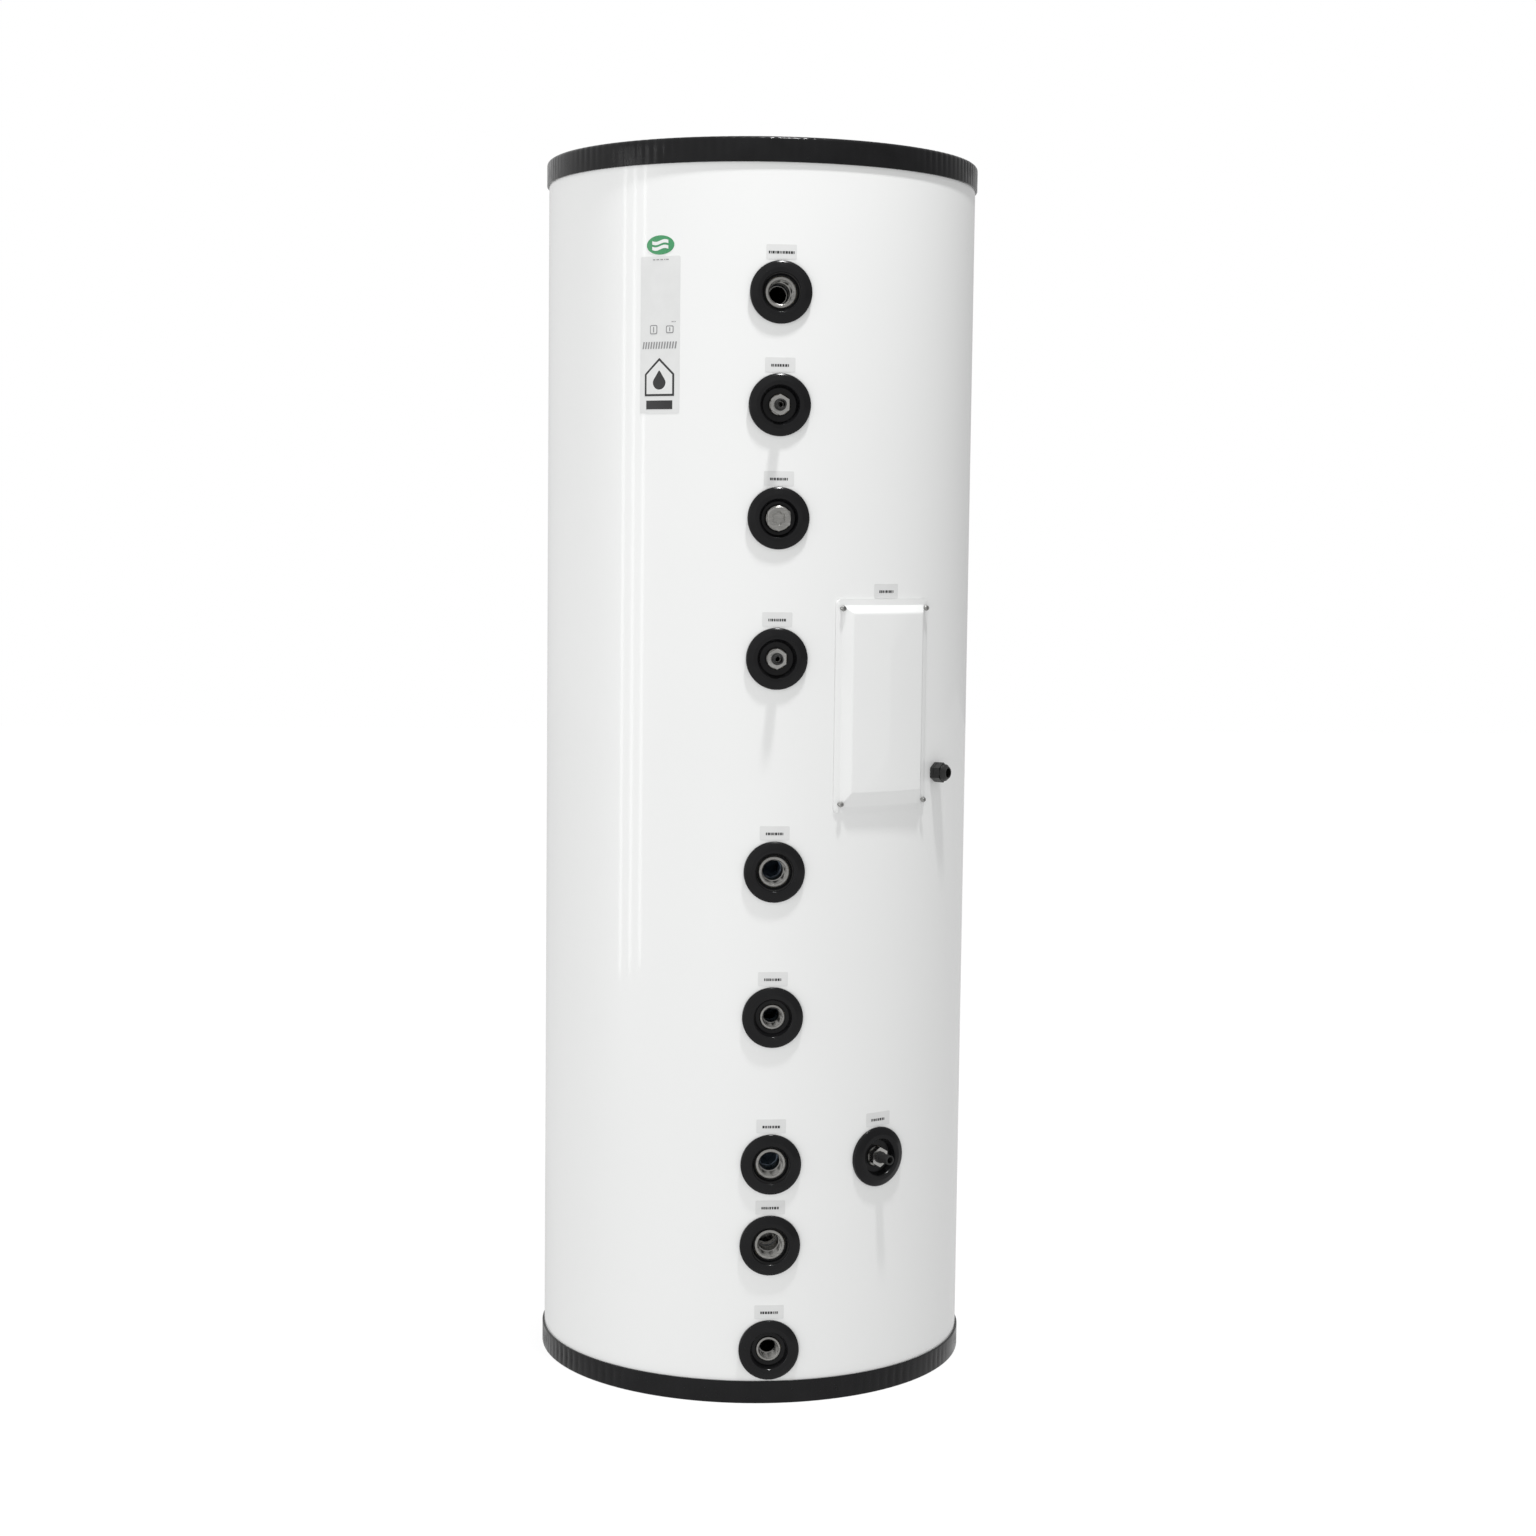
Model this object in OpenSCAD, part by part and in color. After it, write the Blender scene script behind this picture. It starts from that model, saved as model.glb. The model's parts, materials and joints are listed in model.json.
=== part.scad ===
// Free-standing indirect hot water tank: an insulated pressure vessel with a heating coil, an
// immersion heater behind an access cover, and a column of threaded ports.
// Millimetres. Origin: centre of the underside, on the tank's axis. +Z up, the port column faces -Y.
// An azimuth is in degrees from -Y, positive towards +X, and is the way a piece faces outwards.

/* [Jacket] */
// Outside diameter of the painted steel jacket
jacket_d = 600; // [500:5:760]
// Height from the floor to the top of the cap
total_h = 1688; // [1560:4:2100]
// Sheet thickness of the jacket
jacket_wall = 0.8; // [0.6:0.1:2]
// Width of the lap where the sheet's two ends overlap
seam_w = 14; // [8:1:30]
// Azimuth of the lap
seam_azimuth = -24; // [-60:1:-20]

/* [Cap and base] */
// How far the cap's rim comes down over the jacket
cap_rim_h = 33; // [20:1:60]
// How far the base tray's rim comes up the jacket
base_rim_h = 31; // [20:1:34]
// Wall of both rims
rim_wall = 2.8; // [2:0.1:5]
// Thickness of the cap's top and of the tray's floor
plate_t = 3; // [2:0.5:6]
// Depth of the shallow panel moulded into the cap
cap_panel_depth = 3; // [0:0.5:6]

/* [Vessel] */
// Thickness of the foam round the side, jacket included
insulation_t = 50; // [40:1:70]
// Thickness of the foam between a head's crown and the cap or the tray
end_foam_t = 42; // [30:1:70]
// Wall of the pressure vessel
vessel_wall = 2.5; // [1.5:0.1:4]
// Depth of each dished head
head_depth = 70; // [50:1:110]
// Outside radius of the ring that the vessel stands on
foot_ring_r = 140; // [110:5:150]

/* [Ports] */
// Hot water outlet, down from the top of the cap
hot_outlet_drop = 200; // [190:5:240]
// Gap between the rosettes of the hot water outlet and the upper sensor
upper_sensor_gap = 64; // [28:1:118]
// Gap between the rosettes of the upper sensor and the anode
anode_gap = 66; // [28:1:118]
// Gap between the rosettes of the anode and the middle sensor
middle_sensor_gap = 103; // [28:1:118]
// Gap between the base's rim and the drain's rosette
drain_gap = 2; // [2:1:18]
// Gap between the rosettes of the drain and the cold water inlet
cold_inlet_gap = 62; // [38:1:98]
// Gap between the rosettes of the cold water inlet and the coil return
coil_return_gap = 29; // [28:1:78]
// Gap between the rosettes of the coil return and the recirculation
recirculation_gap = 118; // [38:5:158]
// Gap between the rosettes of the recirculation and the coil flow
coil_flow_gap = 114; // [38:4:158]
// Azimuth of the pieces to the right of the port column
side_azimuth = 30; // [26:1:34]
// Outside diameter of a port's rosette
rosette_d = 82; // [76:1:90]
// Length of thread in each socket
thread_l = 22; // [14:1:26]

/* [Coil] */
// Outside diameter of the coil's tube
coil_tube_d = 32; // [22:1:36]
// Wall of the coil's tube
coil_tube_wall = 2.6; // [1.5:0.1:4]
// Gap between the coil and the vessel's outside
coil_gap = 49; // [45:1:70]
// Whole turns of the coil
coil_turns = 8; // [5:1:8]

/* [Access cover] */
// Height of the cover
cover_h = 285; // [270:1:330]
// Width of the cover
cover_w = 154; // [148:1:180]
// Height of the cover's lower edge above the floor
cover_z = 803; // [780:1:830]
// How far the cover's panel stands out
cover_rise = 12; // [9:0.5:16]
// Thickness of the cover's moulding
cover_wall = 2.2; // [1.6:0.1:3]

/* [Rods] */
// Length of the magnesium anode rod
anode_l = 380; // [200:10:400]
// Length of the heater's elements
heater_l = 330; // [200:10:360]
// Length of a sensor pocket inside its socket
pocket_l = 100; // [60:5:140]

/* [Cable gland] */
// Distance of the gland's axis from the cover's edge
gland_offset = 25.6; // [24:0.2:50]
// Height of the gland above the cover's lower edge
gland_rise = 47; // [44:1:60]
// Width of the gland across its flats
gland_af = 24; // [22:1:28]

/* [Hidden] */
$fn = 96;
fine_fn = 360;          // for the big cylinders, which the STEP file makes true
eps = 0.01;
fit = 0.2;              // gap between two pieces that sit against each other
seat = 0.4;             // gap between the jacket and a curved piece that comes off it
bond = 0.5;             // gap between the foam and what it fills up to
running = 0.06;         // radial clearance of a piece that turns or slides in a bore

jacket_r = jacket_d / 2;
jacket_in_r = jacket_r - jacket_wall;
vessel_r = jacket_r - insulation_t;
foam_r = jacket_in_r - bond;
rim_in_r = jacket_r + fit;
rim_r = rim_in_r + rim_wall;
seam_t = 0.6;

crown_r = (vessel_r * vessel_r + head_depth * head_depth) / (2 * head_depth);
bottom_crown_z = plate_t + end_foam_t;
shell_z0 = bottom_crown_z + head_depth;
top_crown_z = total_h - plate_t - cap_panel_depth - end_foam_t;
shell_z1 = top_crown_z - head_depth;

// Threads: [radius of the bore inside the thread, outside radius of the socket]
G_HALF = [9.31, 13.5];
G_THREE_QUARTERS = [12.06, 16.5];
G_ONE = [15.15, 20.5];
G_ONE_AND_HALF = [22.42, 29];
bore_step = 1;          // how much narrower a socket is behind its thread
mouth_chamfer = 1.2;
socket_recess = 3;      // how far a socket's face lies inside the jacket's outside

drain_z = base_rim_h + drain_gap + rosette_d / 2;
drain = ["drain", drain_z, 0, G_THREE_QUARTERS];
cold_inlet = ["cold_inlet", drain_z + rosette_d + cold_inlet_gap, 0, G_ONE];
coil_return = ["coil_return", cold_inlet[1] + rosette_d + coil_return_gap, 0, G_ONE];
recirculation = ["recirculation", coil_return[1] + rosette_d + recirculation_gap, 0, G_THREE_QUARTERS];
coil_flow = ["coil_flow", recirculation[1] + rosette_d + coil_flow_gap, 0, G_ONE];
hot_outlet = ["hot_outlet", total_h - hot_outlet_drop, 0, G_ONE];
upper_sensor = ["upper_sensor", hot_outlet[1] - rosette_d - upper_sensor_gap, 0, G_HALF];
anode = ["anode", upper_sensor[1] - rosette_d - anode_gap, 0, G_THREE_QUARTERS];
middle_sensor = ["middle_sensor", anode[1] - rosette_d - middle_sensor_gap, 0, G_HALF];
lower_sensor = ["lower_sensor", coil_return[1], side_azimuth, G_HALF];
// A port is [name, height, azimuth, thread]
PORTS = [hot_outlet, upper_sensor, anode, middle_sensor, coil_flow, recirculation, coil_return,
         cold_inlet, drain, lower_sensor];
SENSOR_PORTS = [upper_sensor, middle_sensor, lower_sensor];

socket_face = jacket_r - socket_recess;
socket_root = 60;       // inner end of a socket on the bottom head, before it is cut to the head

rosette_r = rosette_d / 2;
rosette_rise = 7;       // face of the rosette above the jacket
rosette_rim_rise = 3.4; // its outer edge above the jacket
rosette_mouth_r = 25;
rosette_neck_r = 27.5;
rosette_floor_t = 2;
rosette_depth = 7;      // underside of the rosette's floor below the jacket's outside
port_hole_r = rosette_neck_r + 1.5;

label_w = 40;
label_h = 19;
label_t = 0.25;
label_rise = rosette_r + 11;              // centre of a label above its port's
label_gap = 11;         // centre of the cover's label above the cover
plate_w = 59;
plate_h = 205;
plate_drop = 255;       // centre of the rating plate below the top of the cap
plate_azimuth = seam_azimuth - (seam_w / 2 + plate_w / 2 + 2) / jacket_r * 180 / PI;
badge_w = 41;
badge_h = 25;
badge_drop = 138;

cover_x = cover_w / 2;
cover_top_z = cover_z + cover_h;
cover_lip = 8;          // flat flange round the raised panel
cover_bevel = 10;       // width of the slopes at the sides and the top
cover_low_bevel = 18;   // height of the slope at the bottom
cover_corner_r = 6;
cover_flange_r = jacket_r + seat;
screw_x = cover_x - 7;
screw_low_z = cover_z + 12;
screw_high_z = cover_top_z - 12;
screw_r = 2;
screw_hole_r = 2.3;
screw_l = 16;
screw_pad_r = 5.5;
screw_head_r = 4;
screw_head_h = 2.6;
screw_pad_y = 7;        // face of a screw pad, outwards from the jacket where the screw passes

well_x = cover_x - cover_lip - 11.5;      // half the clear width of the service well
well_z0 = cover_z + cover_lip + 15;
well_z1 = cover_top_z - cover_lip - 15;
well_wall = 2;
well_floor = vessel_r + 3;                // back of the well, from the tank's axis
well_floor_face = well_floor + well_wall;

heater_z = well_z0 + 54;
heater_head_af = 55;
heater_head_t = 10;
heater_face = vessel_r + 12;              // face of the heater's socket
heater_seal_t = 2;
element_r = 4.25;
element_x = 12;
element_bend_r = 8;
pin_r = 2;
pin_l = 8;
block_z = heater_z + 69;
block_w = 70;
block_h = 20;
block_t = 18;
pole_pitch = 13;
poles = 5;
thermostat_z = block_z + 62;
thermostat_w = 100;
thermostat_h = 52;
thermostat_t = 28;
thermostat_face = well_floor_face + thermostat_t;
knob_x = -22;
knob_r = 15;
knob_h = 13;
spindle_r = 3;
spindle_l = 8;
button_x = 28;
button_r = 4;
button_out = 3;
button_in = 5;
button_travel = 2.5;
button_room = 0.5;      // left under the button when it is pressed

gland_z = cover_z + gland_rise;
gland_azimuth = side_azimuth + asin((cover_x + gland_offset) / jacket_r);
gland_hex_t = 5;
gland_stub_r = 9;
gland_stub_l = 10;
gland_tail_r = 8;
gland_tail_l = 14;
gland_bore_r = 6;
seal_r = 7.8;
seal_bore_r = 5;
seal_l = 13;
nut_gap = 0.5;
nut_l = 16.5;
nut_hex_l = 9;
nut_mouth_r = 6.5;
gland_hex_face = jacket_r + gland_hex_t;
duct_r = 9;
duct_y = vessel_r + 16;

sensor_hex_af = 24;
sensor_hex_t = 9;
pocket_r = 6;
probe_r = 3.5;
sleeve_r = 6.5;
sleeve_bore_r = 4.5;
sleeve_l = 22;
anode_hex_af = 30;
anode_hex_t = 9;
anode_seal_t = 2;
anode_rod_r = 10;
plug_l = 17;

dip_r = 13;
dip_wall = 1.5;
dip_bend_r = 40;
dip_start = 20;

// ---- Placing -------------------------------------------------------------------------------

// Children are drawn along +Z, which becomes the outward radius at this height and azimuth.
module radial(z, azimuth) {
    translate([0, 0, z]) rotate([0, 0, azimuth]) rotate([90, 0, 0]) children();
}

module tube(r, bore, z0, z1) {
    difference() {
        translate([0, 0, z0]) cylinder(r = r, h = z1 - z0);
        translate([0, 0, z0 - 1]) cylinder(r = bore, h = z1 - z0 + 2);
    }
}

module rod(r, z0, z1) {
    translate([0, 0, z0]) cylinder(r = r, h = z1 - z0);
}

module hexagon(af, z0, z1) {
    translate([0, 0, z0]) rotate([0, 0, 30]) cylinder(r = af / sqrt(3), h = z1 - z0, $fn = 6);
}

module jacket_cylinder(r, z0 = -1, z1 = total_h + 1) {
    translate([0, 0, z0]) cylinder(r = r, h = z1 - z0, $fn = fine_fn);
}

// Pieces in the service well are drawn facing -Y, then turned to the cover's azimuth.
module at_cover() {
    rotate([0, 0, side_azimuth]) children();
}

// A piece along the outward radius, at x across and z up, in the service well's own frame.
module facing(x, z) {
    translate([x, 0, z]) rotate([90, 0, 0]) children();
}

// A block between two distances from the tank's axis, centred at x and z.
module block(x, z, w, h, near, far) {
    translate([x - w / 2, -far, z - h / 2]) cube([w, far - near, h]);
}

// ---- Sweeping a round tube along points ------------------------------------------------------

function unit(v) = v / norm(v);
function tangent(path, i) = unit(path[min(i + 1, len(path) - 1)] - path[max(i - 1, 0)]);
// Each ring's first direction, carried along the path without twist
function carried(path, i, last) =
    let (t = tangent(path, i)) unit(last - (last * t) * t);
function frames(path, first, i = 0, out = []) =
    i == len(path) ? out :
    let (d = carried(path, i, i == 0 ? first : out[i - 1])) frames(path, first, i + 1, concat(out, [d]));
function ring_points(path, dirs, r, sides) = [
    for (i = [0 : len(path) - 1])
        let (t = tangent(path, i), u = dirs[i], v = cross(t, u))
            for (k = [0 : sides - 1])
                path[i] + r * (cos(360 * k / sides) * u + sin(360 * k / sides) * v)];
function skin(rings, sides, start = 0, inward = false) = [
    for (i = [0 : rings - 2], k = [0 : sides - 1])
        let (a = start + i * sides + k, b = start + i * sides + (k + 1) % sides)
            inward ? [a, a + sides, b + sides, b] : [a, b, b + sides, a + sides]];

module solid_sweep(path, first, r, sides) {
    n = len(path);
    points = ring_points(path, frames(path, first), r, sides);
    caps = [[for (k = [sides - 1 : -1 : 0]) k], [for (k = [0 : sides - 1]) (n - 1) * sides + k]];
    polyhedron(points = points, faces = concat(skin(n, sides), caps), convexity = 10);
}

module hollow_sweep(path, first, r, bore, sides) {
    n = len(path);
    dirs = frames(path, first);
    inner = n * sides;
    points = concat(ring_points(path, dirs, r, sides), ring_points(path, dirs, bore, sides));
    ends = concat(
        [for (k = [0 : sides - 1]) [k, inner + k, inner + (k + 1) % sides, (k + 1) % sides]],
        [for (k = [0 : sides - 1])
            let (a = (n - 1) * sides + k, b = (n - 1) * sides + (k + 1) % sides)
                [a, b, inner + b, inner + a]]);
    polyhedron(points = points,
               faces = concat(skin(n, sides), skin(n, sides, inner, true), ends), convexity = 10);
}

// ---- Pressure vessel -------------------------------------------------------------------------

module inner_shell() {
    color("lightsteelblue") difference() {
        tube_of_vessel();
        for (p = PORTS) if (p[1] - p[3][0] > shell_z0)
            radial(p[1], p[2]) rod(p[3][0] - bore_step, vessel_r - 40, vessel_r + 20);
        radial(heater_z, side_azimuth) rod(G_ONE_AND_HALF[0], vessel_r - 40, vessel_r + 20);
    }
}

module tube_of_vessel() {
    difference() {
        jacket_cylinder(vessel_r, shell_z0 + fit, shell_z1 - fit);
        jacket_cylinder(vessel_r - vessel_wall, shell_z0, shell_z1);
    }
}

// A dished head is a cap of a sphere; drawn with its rim at z = 0 and its crown at -head_depth.
module dished_head() {
    intersection() {
        difference() {
            translate([0, 0, crown_r - head_depth]) sphere(r = crown_r, $fn = fine_fn);
            translate([0, 0, crown_r - head_depth]) sphere(r = crown_r - vessel_wall, $fn = fine_fn);
        }
        translate([0, 0, -head_depth - 1]) cylinder(r = vessel_r, h = head_depth + 1, $fn = fine_fn);
    }
}

module bottom_head() {
    color("lightsteelblue") difference() {
        translate([0, 0, shell_z0]) dished_head();
        radial(drain[1], drain[2]) rod(drain[3][0] - bore_step, socket_root, vessel_r + 20);
    }
}

module top_head() {
    color("lightsteelblue") translate([0, 0, shell_z1]) mirror([0, 0, 1]) dished_head();
}

module bottom_crown_sphere(r) {
    translate([0, 0, bottom_crown_z + crown_r]) sphere(r = r, $fn = fine_fn);
}

module foot_ring() {
    foot_wall = 3;
    color("dimgray") difference() {
        tube(foot_ring_r, foot_ring_r - foot_wall, plate_t + fit, shell_z0);
        bottom_crown_sphere(crown_r + fit);
        radial(drain[1], drain[2]) rod(drain[3][1] + fit, socket_root, jacket_r);
    }
}

// ---- Coil --------------------------------------------------------------------------------------

coil_r = vessel_r - coil_gap - coil_tube_d / 2;
lead_bend_r = coil_tube_d * 1.25;
coil_lead = 0.8;          // gap between the lead's end and the vessel's wall
// The lead's bend is centred outside the coil's circle and meets it at join_angle
bend_y = sqrt((coil_r + lead_bend_r) * (coil_r + lead_bend_r) - lead_bend_r * lead_bend_r);
join_angle = atan2(lead_bend_r, bend_y);
turn_steps = 20;
helix_steps = coil_turns * turn_steps;
helix_sweep = 360 * coil_turns - 2 * join_angle;

function lead_points(z, side) = [
    [0, -(vessel_r - vessel_wall - coil_lead), z],
    for (a = [0 : 20 : 80])
        let (turn = a * (90 - join_angle) / 80)
            [side * lead_bend_r * (1 - cos(turn)), -bend_y + lead_bend_r * sin(turn), z]];
function reversed(list) = [for (i = [len(list) - 1 : -1 : 0]) list[i]];
function helix_points() = [
    for (i = [1 : helix_steps - 1])
        let (a = join_angle + helix_sweep * i / helix_steps,
             z = coil_flow[1] + (coil_return[1] - coil_flow[1]) * i / helix_steps)
            [coil_r * sin(a), -coil_r * cos(a), z]];

module heating_coil() {
    path = concat(lead_points(coil_flow[1], 1), helix_points(),
                  reversed(lead_points(coil_return[1], -1)));
    color("silver")
        hollow_sweep(path, [0, 0, 1], coil_tube_d / 2, coil_tube_d / 2 - coil_tube_wall, 8);
}

module coil_brackets() {
    bar_w = 25;
    bar_t = 4;
    lug_h = 30;
    bar_in = coil_r + coil_tube_d / 2 + 1;
    low = coil_return[1] - 40;
    high = coil_flow[1] + 40;
    color("silver") for (a = [90, 180, 270]) rotate([0, 0, a]) difference() {
        union() {
            block(0, (low + high) / 2, bar_w, high - low, bar_in, bar_in + bar_t);
            for (z = [low + lug_h, high - lug_h])
                block(0, z, bar_w, lug_h, bar_in + bar_t - eps, vessel_r);
        }
        difference() {
            jacket_cylinder(vessel_r + 30);
            jacket_cylinder(vessel_r - vessel_wall - fit, -2, total_h + 2);
        }
    }
}

module hot_outlet_dip_pipe() {
    start = vessel_r - vessel_wall - fit;
    bend = start - dip_start;
    pipe_r = bend - dip_bend_r;
    crown_at_pipe = top_crown_z - crown_r + sqrt(crown_r * crown_r - pow(pipe_r + dip_r, 2));
    color("silver") {
        radial(hot_outlet[1], 0) tube(dip_r, dip_r - dip_wall, bend, start);
        translate([0, -bend, hot_outlet[1] + dip_bend_r]) rotate([90, 0, 90])
            rotate_extrude(angle = 90, start = 270) translate([dip_bend_r, 0]) difference() {
                circle(r = dip_r);
                circle(r = dip_r - dip_wall);
            }
        translate([0, -pipe_r, 0])
            tube(dip_r, dip_r - dip_wall, hot_outlet[1] + dip_bend_r, crown_at_pipe - 15);
    }
}

module cold_inlet_diffuser() {
    start = vessel_r - vessel_wall - fit;
    collar_l = 14;
    plate_r = 30;
    post_r = 2;
    post_l = 18;
    color("silver") radial(cold_inlet[1], 0) {
        tube(dip_r + 3, dip_r, start - collar_l, start - 1);
        for (a = [90, 210, 330]) rotate([0, 0, a]) translate([dip_r + 1.5, 0, 0])
            rod(post_r, start - collar_l - post_l, start - collar_l + 1);
        rod(plate_r, start - collar_l - post_l - 2, start - collar_l - post_l + eps);
    }
}

// ---- Insulation --------------------------------------------------------------------------------

// The tunnels that the ports, the heater, the service well and the gland need through the foam
module foam_tunnels() {
    for (p = PORTS) radial(p[1], p[2]) {
        rod(p[3][1] + bond, socket_root, jacket_r + 1);
        rod(port_hole_r, jacket_r - rosette_depth - 3, jacket_r + 1);
    }
    at_cover() {
        block(0, (well_z0 + well_z1) / 2, 2 * (well_x + well_wall + bond),
              well_z1 - well_z0 + 2 * (well_wall + bond), vessel_r - 20, jacket_r + 1);
        for (x = [-screw_x, screw_x], z = [screw_low_z, screw_high_z])
            facing(x, z) rod(screw_hole_r + 1, jacket_r - 40, jacket_r + 1);
        translate([well_x, -duct_y, gland_z]) rotate([0, 90, 0]) rod(duct_r, 0, 50);
    }
    radial(gland_z, gland_azimuth) rod(duct_r + 7, vessel_r + 8, jacket_r + 1);
}

module side_insulation() {
    color("khaki") difference() {
        jacket_cylinder(foam_r, shell_z0 + bond, shell_z1 - bond);
        jacket_cylinder(vessel_r + bond);
        foam_tunnels();
    }
}

module end_insulation() {
    color("khaki") {
        difference() {
            jacket_cylinder(foam_r, plate_t + bond, shell_z0);
            bottom_crown_sphere(crown_r + bond);
            tube(foot_ring_r + bond, foot_ring_r - 3 - bond, 0, shell_z0);
            foam_tunnels();
        }
        difference() {
            jacket_cylinder(foam_r, shell_z1, total_h - plate_t - cap_panel_depth - bond);
            translate([0, 0, top_crown_z - crown_r]) sphere(r = crown_r + bond, $fn = fine_fn);
            foam_tunnels();
        }
    }
}

// ---- Casing ------------------------------------------------------------------------------------

module outer_jacket() {
    seam_half = seam_w / 2 / jacket_r * 180 / PI;
    color("white") difference() {
        union() {
            difference() {
                jacket_cylinder(jacket_r, plate_t + fit, total_h - plate_t - cap_panel_depth - fit);
                jacket_cylinder(jacket_in_r);
            }
            translate([0, 0, base_rim_h + 1]) rotate([0, 0, -90 + seam_azimuth - seam_half])
                rotate_extrude(angle = 2 * seam_half, $fn = fine_fn)
                    translate([jacket_r - jacket_wall / 2, 0])
                        square([seam_t + jacket_wall / 2, total_h - cap_rim_h - base_rim_h - 2]);
        }
        for (p = PORTS) radial(p[1], p[2]) rod(port_hole_r, vessel_r, jacket_r + 10);
        at_cover() {
            block(0, (well_z0 + well_z1) / 2, 2 * well_x, well_z1 - well_z0, vessel_r, jacket_r + 10);
            for (x = [-screw_x, screw_x], z = [screw_low_z, screw_high_z])
                facing(x, z) rod(screw_hole_r, vessel_r, jacket_r + 10);
        }
        radial(gland_z, gland_azimuth) rod(gland_tail_r + fit, vessel_r, jacket_r + 10);
    }
}

// Half the section of the cap: top, rim and rounded edge, less the hollow and the shallow panel
module cap_section() {
    edge_r = 5;
    panel_r = jacket_r - 38;
    slope = 8;
    underside = total_h - plate_t - cap_panel_depth;
    difference() {
        union() {
            translate([0, total_h - cap_rim_h]) square([rim_r, cap_rim_h - edge_r]);
            translate([0, total_h - cap_rim_h]) square([rim_r - edge_r, cap_rim_h]);
            translate([rim_r - edge_r, total_h - edge_r]) circle(r = edge_r);
        }
        translate([-1, total_h - cap_rim_h - 1]) square([rim_in_r + 1, underside + cap_rim_h + 1 - total_h]);
        polygon([[-1, total_h - cap_panel_depth], [panel_r - slope, total_h - cap_panel_depth],
                 [panel_r, total_h], [panel_r, total_h + 1], [-1, total_h + 1]]);
    }
}

module top_cap() {
    color([0.07, 0.07, 0.075]) rotate_extrude($fn = fine_fn) cap_section();
}

module base_tray() {
    edge_r = 2.5;
    color([0.07, 0.07, 0.075]) rotate_extrude($fn = fine_fn) difference() {
        union() {
            square([rim_r - edge_r, plate_t]);
            translate([rim_in_r - 1, edge_r]) square([rim_wall + 1, base_rim_h - edge_r]);
            translate([rim_r - edge_r, edge_r]) circle(r = edge_r);
        }
        translate([rim_in_r - 2, plate_t]) square([2, base_rim_h]);
    }
}

// ---- Ports -------------------------------------------------------------------------------------

// A threaded socket welded to the vessel, cut to the curve of the shell or of the bottom head
module socket(p) {
    bore = p[3][0];
    on_head = p[1] - bore < shell_z0;
    color("silver") difference() {
        radial(p[1], p[2]) difference() {
            rod(p[3][1], on_head ? socket_root : vessel_r - 20, socket_face);
            rod(bore - bore_step, 0, jacket_r);
            rod(bore, socket_face - thread_l, jacket_r);
            translate([0, 0, socket_face - mouth_chamfer])
                cylinder(r1 = bore, r2 = bore + mouth_chamfer + eps, h = mouth_chamfer + eps);
        }
        if (on_head) bottom_crown_sphere(crown_r + fit);
        if (!on_head) jacket_cylinder(vessel_r + fit);
    }
}

// The plastic ring that trims a port's hole: a flange on the jacket and a cup round the socket
module rosette(p) {
    face = jacket_r + rosette_rise;
    rim = jacket_r + rosette_rim_rise;
    edge_r = 2;
    floor_in = jacket_r - rosette_depth;
    hole_r = p[3][1] + 0.6;
    color([0.08, 0.08, 0.085]) {
        difference() {
            radial(p[1], p[2]) rotate_extrude() union() {
                polygon([[rosette_neck_r - 1, floor_in], [rosette_r, floor_in],
                         [rosette_r, rim - edge_r], [rosette_r - edge_r, rim],
                         [rosette_mouth_r + 6, face], [rosette_mouth_r, face],
                         [rosette_mouth_r, jacket_r]]);
                translate([rosette_r - edge_r, rim - edge_r]) circle(r = edge_r);
            }
            jacket_cylinder(jacket_r + fit, p[1] - rosette_d, p[1] + rosette_d);
        }
        radial(p[1], p[2]) rotate_extrude() difference() {
            polygon([[hole_r, floor_in], [rosette_neck_r, floor_in], [rosette_neck_r, rim],
                     [rosette_mouth_r, face], [rosette_mouth_r - 2.5, floor_in + rosette_floor_t],
                     [hole_r, floor_in + rosette_floor_t]]);
        }
    }
}

// A thermowell: hexagon head, threaded body and a closed tube inside the vessel
module pocket(p) {
    head = socket_face + fit;
    bore = p[3][0];
    tip = vessel_r - pocket_l;
    color("silver") radial(p[1], p[2]) difference() {
        union() {
            hexagon(sensor_hex_af, head, head + sensor_hex_t);
            rod(bore - running, head - plug_l, head + eps);
            rod(pocket_r, tip, head);
        }
        rod(probe_r, tip + 2, head + sensor_hex_t + 1);
    }
}

module sensor_sleeves() {
    start = socket_face + fit + sensor_hex_t;
    color([0.08, 0.08, 0.08]) for (p = SENSOR_PORTS) radial(p[1], p[2]) difference() {
        union() {
            rod(sleeve_r, start + fit, start + sleeve_l);
            rod(sleeve_r + 1.5, start + fit, start + 3);
        }
        rod(sleeve_bore_r, start - 1, start + sleeve_l + 1);
    }
}

module anode_plug() {
    head = socket_face + anode_seal_t + 2 * fit;
    bore = anode[3][0];
    color("silver") radial(anode[1], anode[2]) difference() {
        union() {
            hexagon(anode_hex_af, head + 1, head + anode_hex_t);
            rod(anode[3][1], head, head + 1 + eps);
            rod(bore - running, head - plug_l, head + eps);
        }
        rod(5, head + anode_hex_t - 4, head + anode_hex_t + 1);
    }
}

module anode_rod() {
    end = socket_face + anode_seal_t + 2 * fit - plug_l;
    color("gray") radial(anode[1], anode[2]) rod(anode_rod_r, end - anode_l, end);
}

module anode_seal() {
    color([0.1, 0.1, 0.1]) radial(anode[1], anode[2])
        tube(anode[3][1] - 1, anode[3][0] + mouth_chamfer + 0.3, socket_face + fit,
             socket_face + fit + anode_seal_t);
}

// ---- Immersion heater and controls in the service well -----------------------------------------

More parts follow.
